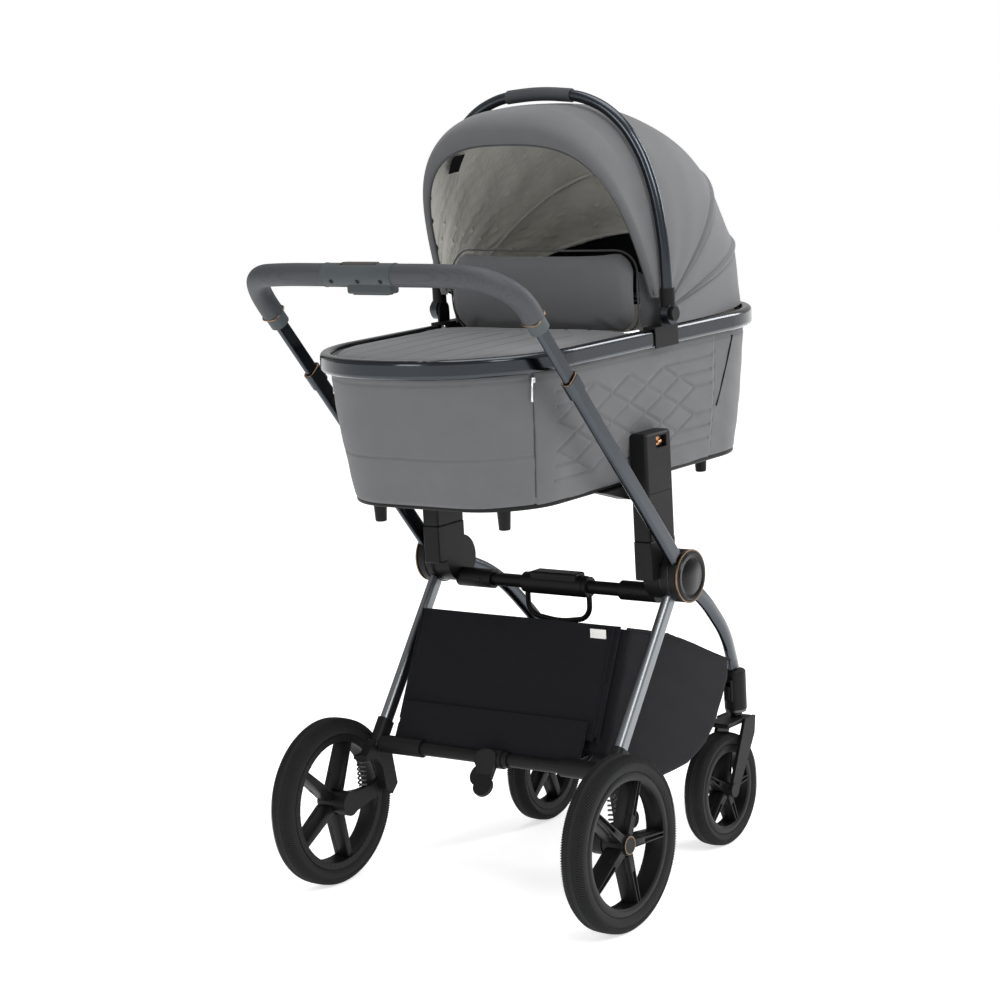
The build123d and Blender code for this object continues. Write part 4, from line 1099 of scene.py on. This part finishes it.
def build_basket_panels(half):
    """Rear panel, the flap over its lower edge, the piping, the wires and a plain tag."""
    low, top = 0.236, BASKET_PROFILE[0][1] + 0.004
    rear_cloth("basket_rear_panel", -half - 0.007, half - 0.010, low + 0.030, top, 0.006, 0.02, 0.006)
    rear_cloth("basket_flap", -half - 0.002, half - 0.030, low - 0.016, 0.294, 0.014, 0.02, 0.004)
    for label, x, out in (("outer", half - 0.010, 0.008), ("inner", half - 0.019, 0.011),
                          ("left", -half - 0.007, 0.008)):
        line = []
        for z in np.linspace(low + 0.03, top, 9):
            y = BASKET_PROFILE[0][0] - (BASKET_PROFILE[0][1] - z) * REAR_LEAN
            line.append((x, y - out, z))
        piping = cord_along("basket_piping", line, 0.0018)
        finish_piece(piping, f"basket_piping_{label}", "chassis", "black_fabric", "Black cloth")
        fold_with_frame(piping)
    rim_line = [(-half, *BASKET_PROFILE[0])] + [(-half, y, z) for y, z in BASKET_PROFILE[1:TOP_CORNERS]]
    for side_name, side in SIDES:
        hem = [(side * abs(x), y, z) for x, y, z in rim_line]
        edge = cord_along("basket_hem", hem, 0.0024)
        finish_piece(edge, f"basket_hem_{side_name}", "chassis", "black_fabric", "Black cloth")
        fold_with_frame(edge)
        wire = [(side * 0.128, -0.163, 0.226), (side * 0.150, -0.166, 0.222), (side * 0.176, -0.160, 0.238),
                (side * 0.190, -0.140, 0.268), (side * 0.196, -0.118, 0.300)]
        for step in (0, 1):
            hoop = [(x, y + 0.009 * step, z + 0.010 * step) for x, y, z in wire]
            rod = cord_along("basket_wire", hoop, 0.0016)
            rod_name = f"basket_wire_{side_name}_{step + 1}"
            finish_piece(rod, rod_name, "chassis", "black_plastic", "Glossy plastic")
            fold_with_frame(rod)
    tag_place = (half - 0.046, BASKET_PROFILE[0][0] - 0.016, top - 0.012)
    tag = rounded_block((0.030, 0.0016, 0.015), tag_place, 0.0006)
    finish_piece(tag, "basket_tag", "chassis", "mattress_white", "Mattress knit")
    fold_with_frame(tag)


# ---------------------------------------------------------------- wheels
def tyre_profile(radius, half, band):
    """Outline of a tyre as (radius, x): soft shoulders, two tread beds and a smooth middle band."""
    inner = radius - band
    right = [(inner, half - 0.0045), (inner + 0.003, half - 0.0015), (inner + 0.009, half),
             (radius - 0.010, half - 0.0008), (radius - 0.005, half - 0.0035),
             (radius - 0.0022, half - 0.0085), (radius - 0.0014, half - 0.0130), (radius - 0.0014, 0.0042),
             (radius - 0.0002, 0.0036), (radius, 0.0020), (radius - 0.0010, 0.0006)]
    return right + [(r, -x) for r, x in reversed(right)]


def tread_bars(name, centre, radius, half, wheels):
    """Slanted bars on both tread beds, as one mesh."""
    count = int(2 * pi * radius / wheels.tread_pitch)
    width = wheels.tread_pitch * 0.52 / radius
    depth = wheels.tread_depth
    stations = [(0.0052, -0.0002, 0, 1), (half - 0.0125, -0.0002, 0, 1), (half - 0.0060, -0.0010, 0, 1),
                (half - 0.0016, -0.0045, 0.7, 0.7), (half + 0.0006, -0.0110, 1, 0)]  # x, sink, inward x and r
    template = []
    for x, sink, inward_x, inward_r in stations:
        slant = (x - 0.005) / (half - 0.005) * 0.055 * 0.138 / radius
        for turn, deep in ((0, depth), (0.15 * width, 0), (0.85 * width, 0), (width, depth)):
            template.append((x - deep * inward_x, radius + sink - deep * inward_r, turn + slant))
    template = np.array(template)
    last = len(stations) - 1
    cell = [(4 * s + k, 4 * s + k + 1, 4 * s + k + 5, 4 * s + k + 4) for s in range(last) for k in range(3)]
    cell += [(4 * s + 3, 4 * s, 4 * s + 4, 4 * s + 7) for s in range(last)]
    cell += [(3, 2, 1, 0), tuple(4 * last + k for k in range(4))]
    points, faces = [], []
    for side in (1, -1):
        for k in range(count):
            turn = template[:, 2] + 2 * pi * (k + (0.5 if side < 0 else 0)) / count
            base = len(points)
            points += list(zip(centre.x + side * template[:, 0], centre.y + template[:, 1] * np.cos(turn),
                               centre.z + template[:, 1] * np.sin(turn)))
            faces += [tuple(base + i for i in face) for face in cell]
    bars = mesh_object(name, points, faces)
    face_outwards(bars)
    return bars


def rim_ring(centre, seat, half):
    """Rim band: an outer lip, a sloping well and a flat seat for the tyre."""
    lip = seat - 0.0128
    profile = [(seat, half - 0.001), (seat - 0.003, half + 0.0006), (lip + 0.002, half + 0.0006),
               (lip, half - 0.001), (lip + 0.001, half - 0.008), (lip + 0.0035, 0.0),
               (lip + 0.0035, -half + 0.006),
               (lip + 0.001, -half + 0.0015), (lip + 0.002, -half), (seat, -half)]
    return spin_profile("rim_ring", profile, centre, 112)


def spoke(centre, hub_r, seat, half, phase, side):
    """One spoke: a deep tapered box with a slotted twin rib on its outer face and a step by the hub."""
    length = seat - 0.010 - hub_r
    middle = hub_r + length / 2

    def taper(p, root, loss, start):
        p[:, 2] *= root - loss * (p[:, 1] - start) / length
        return p

    deep = rounded_block((2 * half - 0.013, length, 0.0155), (0, 0, 0), 0.0015)
    reshape(deep, lambda p: taper(p, 1.12, 0.42, -length / 2))
    deep.data.transform(Matrix.Translation((-side * 0.0035, middle, 0)))
    parts = [deep]
    for edge in (-1, 1):
        rib = rounded_block((0.011, length, 0.0026), (side * (half - 0.0055), middle, edge * 0.0038), 0.0007)
        reshape(rib, lambda p: taper(p, 1.35, 0.55, hub_r))
        parts.append(rib)
    step_place = (side * (half - 0.0068), hub_r + length * 0.16, 0)
    step = rounded_block((0.013, length * 0.36, 0.0135), step_place, 0.0014)
    floor = rounded_block((0.007, length, 0.008), (side * (half - 0.009), middle, 0), 0.001)
    arm = join(*parts, step, floor)
    arm.data.transform(Matrix.Translation(centre) @ Matrix.Rotation(phase, 4, "X"))
    return arm


def build_wheel(prefix, wheels, phase, hub_r, front=False):
    """Tyre and rim of one right-hand wheel, then its mirror image on the left."""
    low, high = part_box(f"{prefix}_tyre_right")
    centre = Vector(((low.x + high.x) / 2, (low.y + high.y) / 2, (low.z + high.z) / 2))
    radius, half = (high.z - low.z) / 2, (high.x - low.x) / 2
    rim_low, rim_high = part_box(f"{prefix}_rim_right")
    band = 0.020 if front else 0.026
    seat = radius - band - 0.0003
    tyre = spin_profile("tyre", tyre_profile(radius, half, band), centre, 128)
    tyre = join(tyre, tread_bars("tread", centre, radius, half, wheels))
    ring = rim_ring(centre, seat, half - 0.003)
    arms = [spoke(centre, hub_r, seat, half - 0.003, radians(phase + 72 * k), 1) for k in range(5)]
    hub_profile = [(0.0062, rim_low.x - centre.x), (hub_r, rim_low.x - centre.x), (hub_r, half - 0.010),
                   (hub_r - 0.002, rim_high.x - centre.x), (0.0062, rim_high.x - centre.x)]
    hub = spin_profile("hub", hub_profile, centre, 64)
    flutes = radial_flutes(centre, seat - 0.0115, half - 0.003)
    rim = join(ring, *arms, hub, flutes)
    for side_name, make in (("left", mirrored_copy), ("right", lambda obj: obj)):
        body = f"{prefix}_wheel_{side_name}"
        for obj, part, slot, material in ((tyre, "tyre", "tyre_black", "Tyre rubber"),
                                          (rim, "rim", "rim_black", "Rim plastic")):
            piece = finish_piece(make(obj), f"{prefix}_{part}_mesh_{side_name}", body, slot, material, 40)
            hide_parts(f"{prefix}_{part}_{side_name}")
    if not front:
        cap_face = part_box("rear_hub_cap_right")[1].x
        trim_ring("wheel_trim", Vector((cap_face - 0.0004, centre.y, centre.z)), 0.0136, "rear_wheel_{}")


def radial_flutes(centre, inner, half):
    """Short ribs round the inner face of the rim."""
    count = 60
    first = rounded_block((0.004, 0.0085, 0.0016), (-half + 0.0016, inner + 0.0045, 0), 0.0004, 1)
    parts = [first]
    for k in range(1, count):
        parts.append(turned_copy(first, Vector((0, 0, 0)), 2 * pi * k / count))
    flutes = join(*parts)
    flutes.data.transform(Matrix.Translation(centre))
    return flutes


def trim_ring(name, centre, radius, body, thick=0.0007):
    """A thin bronze ring on the outer face of a hub, on both sides."""
    profile = [(radius + a * thick, b * thick) for a, b in ((1, -1), (1, 1), (-1, 1), (-1, -1))]
    ring = spin_profile(name, profile, centre, 72)
    both_sides(ring, name, body, "bronze", "Bronze", 50)


# ---------------------------------------------------------------- small hardware
HEAD_W = 0.0144  # thickness of a turning head at the fold hub


def build_hub_trim():
    """Ring lines, bronze ring and raised disc of the fold hubs."""
    low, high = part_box("hub_covers")
    centre = Vector((high.x, HUB.y, HUB.z))
    radius = (high.z - low.z) / 2
    trim_ring("hub_ring", centre - Vector((0.0022, 0, 0)), radius + 0.0010, "chassis", 0.0011)
    shares = ((0.0, 0.0), (0.0, 1.6), (0.66, 1.6), (0.70, 0.4),
              (0.74, 0.4), (0.77, 1.4), (0.90, 1.4), (0.93, 0.0))
    profile = [(radius * share, rise * MM) for share, rise in shares]
    disc = spin_profile("hub_disc", profile, centre, 96)
    both_sides(disc, "hub_disc", "chassis", "black_plastic", "Glossy plastic", 40)
    hub_shells(centre, radius)


def hub_shells(centre, radius):
    """Black shells round the turning heads of the leg and the handle, on both sides."""
    for name, body, node in (("leg_shell", "rear_frame", "rear_legs"),
                             ("handle_shell", "handle_lower", "handle_lower_tubes")):
        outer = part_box(node)[1].x
        low, high = outer - HEAD_W + 0.0003, outer - 0.0003
        profile = [(radius + 0.0002, low), (radius + 0.0016, low + 0.0012), (radius + 0.0016, high - 0.0012),
                   (radius + 0.0002, high), (radius - 0.0010, high), (radius - 0.0010, low)]
        shell = spin_profile(name, [(r, x - centre.x) for r, x in profile], centre, 96)
        both_sides(shell, name, body, "black_plastic", "Black plastic", 40)


def build_handle_caps():
    """Black end caps over the carry handle's feet, above its pivots."""
    tube_r = 0.0095
    for side_name, side in SIDES:
        x = side * (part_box("carry_handle")[1].x - tube_r)
        points = [(x, PIVOT.y, PIVOT.z + rise) for rise in (0.012, 0.020, 0.030, 0.040)]
        cap = cord_along("handle_cap", points, tube_r + 0.0022, sides=24)
        finish_piece(cap, f"handle_cap_{side_name}", "hood_front", "black_plastic", "Black plastic", 50)


def build_pedal_pad():
    """Leaf-shaped pad on the front of the brake pedal, with two lobes."""
    bar_low, bar_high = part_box("rear_crossbar")
    z = (bar_low.z + bar_high.z) / 2
    front = (bar_low.y + bar_high.y) / 2 - 0.019
    outline = [(0.018, 0.020), (0.002, 0.021), (-0.016, 0.013), (-0.021, -0.002), (-0.014, -0.013),
               (-0.020, -0.024), (-0.022, -0.038), (-0.010, -0.047), (0.006, -0.046), (0.014, -0.036),
               (0.016, -0.018), (0.024, -0.004), (0.025, 0.011)]
    ring = [(x - 0.004, front, z + rise) for x, rise in outline]
    pad = extruded_plate("pedal_pad", ring, (0, 0.006, 0))
    add_modifier(pad, "BEVEL", width=0.002, segments=2, angle_limit=radians(50))
    add_modifier(pad, "SUBSURF", levels=2, render_levels=2)
    reshape(pad, lambda p: p - (z - p[:, 2:]) * np.array([0, 0.12, 0]))
    finish_piece(pad, "pedal_pad", "brake_pedal", "black_plastic", "Black plastic", 50)


def handle_frame():
    """Directions of the handle tubes: along them, square to them in the upright plane, and their place."""
    way = Vector(JOINTS["handle_extend"]["axis"]).normalized()
    across = Vector((0, way.z, -way.y))
    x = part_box("handle_lower_tubes")[1].x - HEAD_W / 2
    return way, across, x


def oval_ring(name, distance, long_half, wide_half, body, material, slot, wire):
    """A thin ring or sleeve round a handle tube at a distance from the fold hub, on both sides."""
    way, across, x = handle_frame()
    centre = Vector((x, HUB.y, HUB.z)) + way * distance
    turn = np.linspace(0, 2 * pi, 33)[:-1]
    for side_name, side in SIDES:
        points = []
        for angle in turn:
            power = 2 / 3.2
            a = long_half * np.sign(cos(angle)) * abs(cos(angle)) ** power
            b = wide_half * np.sign(sin(angle)) * abs(sin(angle)) ** power
            p = centre + across * a + Vector((b, 0, 0))
            points.append((side * p.x, p.y, p.z))
        ring = cord_along(name, points, wire, closed=True)
        finish_piece(ring, f"{name}_{side_name}", body, slot, material, 50)


def build_handle_trim():
    """Bronze rings at the telescope joints and the grip, the clip and the screws."""
    way, _, x = handle_frame()
    oval_ring("telescope_ring", 0.4612, 0.0150, 0.0078, "handle_lower", "Bronze", "bronze", 0.0011)
    oval_ring("grip_ring", 0.5915, 0.0168, 0.0158, "handle_upper", "Bronze", "bronze", 0.0013)
    for side_name, side in SIDES:
        place = Vector((x - 0.009, HUB.y, HUB.z)) + way * 0.235
        clip = rounded_block((0.006, 0.010, 0.020), (0, 0, 0), 0.0015)
        turn = Vector((0, 0, 1)).rotation_difference(way).to_matrix().to_4x4()
        clip.data.transform(Matrix.Translation((side * place.x, place.y, place.z)) @ turn)
        finish_piece(clip, f"tube_clip_{side_name}", "handle_lower", "black_plastic", "Black plastic")
    low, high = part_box("handle_centre")
    grip_y = (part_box("handle_button")[0].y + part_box("handle_button")[1].y) / 2
    grip_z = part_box("handle_button")[1].z - 0.0193
    for label, edge in (("right", high.x), ("left", low.x)):
        profile = [(0.0184, -0.0016), (0.0187, 0.0), (0.0184, 0.0016), (0.0172, 0.0016), (0.0172, -0.0016)]
        seam = spin_profile("grip_seam", profile, Vector((edge - np.sign(edge) * 0.001, grip_y, grip_z)), 48)
        finish_piece(seam, f"grip_seam_{label}", "handle_upper", "centre_plastic", "Grey-green plastic", 40)
    screws(grip_y, grip_z)


def screws(grip_y, grip_z):
    """Recessed screws under the grip's centre and on the crossbar's sockets."""
    places = [("grip", x, grip_y - 0.0165, grip_z - 0.0085, "handle_upper", (0, -0.85, -0.5))
              for x in (-0.045, 0.005, 0.048)]
    socket_y, socket_z = HUB.y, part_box("upper_crossbar")[1].z - 0.011
    for x in (-0.150, 0.150):
        places.append(("socket", x, socket_y - 0.0158, socket_z, "chassis", (0, -1, 0)))
    for index, (label, x, y, z, body, way) in enumerate(places):
        deselect()
        bpy.ops.mesh.primitive_cylinder_add(vertices=24, radius=0.0032, depth=0.0024)
        head = bpy.context.object
        bpy.ops.object.mode_set(mode="EDIT")
        bpy.ops.mesh.select_all(action="SELECT")
        bpy.ops.mesh.bevel(offset=0.0005, segments=2, affect="EDGES")
        bpy.ops.object.mode_set(mode="OBJECT")
        turn = Vector((0, 0, 1)).rotation_difference(Vector(way)).to_matrix().to_4x4()
        head.data.transform(Matrix.Translation((x, y, z)) @ turn)
        finish_piece(head, f"{label}_screw_{index + 1}", body, "black_plastic", "Glossy plastic")


def paint_frame():
    """Give every CAD node its finish."""
    for material, stems in CAD_FINISHES.items():
        for name, node in frame["nodes"].items():
            if any(name.startswith(stem) for stem in stems):
                node.data.materials.clear()
                node.data.materials.append(bpy.data.materials[material])


# ---------------------------------------------------------------- stage
CAMERA_AZIMUTH, CAMERA_HEIGHT, CAMERA_ROLL = 36.5, 10.4, -3.2
CAMERA_TARGET = Vector((-0.0787, -0.036, 0.5484))
CAMERA_DISTANCE = 4.6555
CAMERA_LENS = 102.27
CAMERA_SHIFT = (0.0049, 0.0409)
SKY_LIGHT = 0.42  # light of the white backdrop on the object


def build_camera():
    """Camera that looks down a little on the stroller's rear right."""
    azimuth, height, roll = (radians(v) for v in (CAMERA_AZIMUTH, CAMERA_HEIGHT, CAMERA_ROLL))
    back = Vector((sin(azimuth) * cos(height), -cos(azimuth) * cos(height), sin(height)))
    right = Vector((cos(azimuth), sin(azimuth), 0))
    up = back.cross(right)
    rolled_right = right * cos(roll) + up * sin(roll)
    rolled_up = up * cos(roll) - right * sin(roll)
    data = bpy.data.cameras.new("Camera")
    data.lens, data.sensor_width = CAMERA_LENS, 36.0
    data.shift_x, data.shift_y = CAMERA_SHIFT
    camera = bpy.data.objects.new("Camera", data)
    turn = Matrix((rolled_right, rolled_up, back)).transposed().to_4x4()
    camera.matrix_world = Matrix.Translation(CAMERA_TARGET + back * CAMERA_DISTANCE) @ turn
    bpy.context.scene.collection.objects.link(camera)
    bpy.context.scene.camera = camera


def add_lamp(name, place, target, size, power, colour=(1, 1, 1)):
    data = bpy.data.lights.new(name, "AREA")
    data.shape, data.size, data.size_y, data.energy, data.color = "RECTANGLE", size[0], size[1], power, colour
    lamp = bpy.data.objects.new(name, data)
    lamp.location = place
    lamp.rotation_euler = (Vector(target) - Vector(place)).to_track_quat("-Z", "Y").to_euler()
    bpy.context.scene.collection.objects.link(lamp)


def build_stage():
    """Pale floor, soft studio lamps and the world's fill light."""
    deselect()
    bpy.ops.mesh.primitive_plane_add(size=60, location=(0, 0, -0.0005))
    floor = bpy.context.object
    floor.name = "studio_floor"
    floor.data.materials.append(bpy.data.materials["Floor"])
    add_lamp("Key", (3.4, -1.4, 3.4), (0, 0, 0.6), (1.4, 2.6), 105)
    add_lamp("Top", (0.4, 0.3, 4.2), (0, 0, 0.6), (2.6, 2.6), 75)
    add_lamp("Rear fill", (-1.0, -4.2, 1.9), (0, 0, 1.0), (1.6, 1.6), 42)
    add_lamp("Edge", (1.8, 3.6, 2.4), (0, 0, 0.8), (0.9, 2.4), 70)
    world = bpy.data.worlds.new("Studio")
    world.use_nodes = True
    sky = world.node_tree.nodes["Background"]
    sky.inputs["Color"].default_value = (1, 1, 1, 1)
    seen = world.node_tree.nodes.new("ShaderNodeLightPath").outputs["Is Camera Ray"]
    backdrop = math_node(world.node_tree, "MULTIPLY", seen, 1 - SKY_LIGHT)
    glow = math_node(world.node_tree, "ADD", backdrop, SKY_LIGHT)
    world.node_tree.links.new(glow, sky.inputs["Strength"])
    bpy.context.scene.world = world
    bpy.context.scene.view_settings.view_transform = "Standard"
    build_camera()


# ---------------------------------------------------------------- steps
class STROLLER_OT_finishes(bpy.types.Operator):
    """Make the materials and paint the frame with them"""
    bl_idname = "stroller.finishes"
    bl_label = "Finishes"
    bl_options = {"REGISTER", "UNDO"}

    def execute(self, context):
        scene = context.scene
        make_materials(scene.stroller_fabric, scene.stroller_hardware, scene.stroller_wheels)
        paint_frame()
        return {"FINISHED"}


class STROLLER_OT_carrycot(bpy.types.Operator):
    """Sew the carrycot's body, lining, mattress, apron and wind flap"""
    bl_idname = "stroller.carrycot"
    bl_label = "Carrycot"
    bl_options = {"REGISTER", "UNDO"}

    def execute(self, context):
        fabric = context.scene.stroller_fabric
        build_cot_body(fabric)
        base_low = TUB_LO.z
        cot_plate("cot_floor", base_low, base_low + BINDING, -0.0004, "black_fabric", "Black plastic", 0.003)
        build_cot_lining()
        build_mattress()
        build_apron(fabric)
        build_wind_flap()
        build_flap_wings()
        build_cot_zips()
        return {"FINISHED"}


class STROLLER_OT_hood(bpy.types.Operator):
    """Sew the hood's cloth, visor, liner and bindings"""
    bl_idname = "stroller.hood"
    bl_label = "Hood"
    bl_options = {"REGISTER", "UNDO"}

    def execute(self, context):
        build_hood(context.scene.stroller_fabric)
        return {"FINISHED"}


class STROLLER_OT_basket(bpy.types.Operator):
    """Sew the basket with its rear panel, flap and piping"""
    bl_idname = "stroller.basket"
    bl_label = "Basket"
    bl_options = {"REGISTER", "UNDO"}

    def execute(self, context):
        build_basket()
        return {"FINISHED"}


class STROLLER_OT_wheels(bpy.types.Operator):
    """Mould the four tyres and rims"""
    bl_idname = "stroller.wheels"
    bl_label = "Wheels"
    bl_options = {"REGISTER", "UNDO"}

    def execute(self, context):
        build_wheel("rear", context.scene.stroller_wheels, 67, 0.018)
        build_wheel("front", context.scene.stroller_wheels, 77, 0.012, front=True)
        return {"FINISHED"}


class STROLLER_OT_hardware(bpy.types.Operator):
    """Add the trim rings, hub discs, clips and screws"""
    bl_idname = "stroller.hardware"
    bl_label = "Hardware"
    bl_options = {"REGISTER", "UNDO"}

    def execute(self, context):
        build_hub_trim()
        build_handle_caps()
        build_pedal_pad()
        build_handle_trim()
        return {"FINISHED"}


class STROLLER_OT_stage(bpy.types.Operator):
    """Set up the floor, the lamps and the camera"""
    bl_idname = "stroller.stage"
    bl_label = "Stage"
    bl_options = {"REGISTER", "UNDO"}

    def execute(self, context):
        build_stage()
        return {"FINISHED"}


class STROLLER_PT_panel(bpy.types.Panel):
    """Steps and sizes of the stroller"""
    bl_label = "Stroller"
    bl_idname = "STROLLER_PT_panel"
    bl_space_type = "VIEW_3D"
    bl_region_type = "UI"
    bl_category = "Stroller"

    def draw(self, context):
        for settings in (context.scene.stroller_fabric, context.scene.stroller_hardware,
                         context.scene.stroller_wheels):
            box = self.layout.box()
            for name in settings.__annotations__:
                box.prop(settings, name)
        for step in STEPS:
            self.layout.operator(step.bl_idname)


STEPS = (STROLLER_OT_finishes, STROLLER_OT_carrycot, STROLLER_OT_hood, STROLLER_OT_basket, STROLLER_OT_wheels,
         STROLLER_OT_hardware, STROLLER_OT_stage)
GROUPS = {"stroller_fabric": StrollerFabric, "stroller_hardware": StrollerHardware,
          "stroller_wheels": StrollerWheels}


def register():
    for cls in (*GROUPS.values(), *STEPS, STROLLER_PT_panel):
        bpy.utils.register_class(cls)
    for name, group in GROUPS.items():
        setattr(bpy.types.Scene, name, bpy.props.PointerProperty(type=group))


def unregister():
    for name in GROUPS:
        delattr(bpy.types.Scene, name)
    for cls in reversed((*GROUPS.values(), *STEPS, STROLLER_PT_panel)):
        bpy.utils.unregister_class(cls)


def main():
    """Register the add-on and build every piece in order."""
    register()
    for step in STEPS:
        group, name = step.bl_idname.split(".")
        getattr(getattr(bpy.ops, group), name)()


if __name__ == "__main__":
    main()
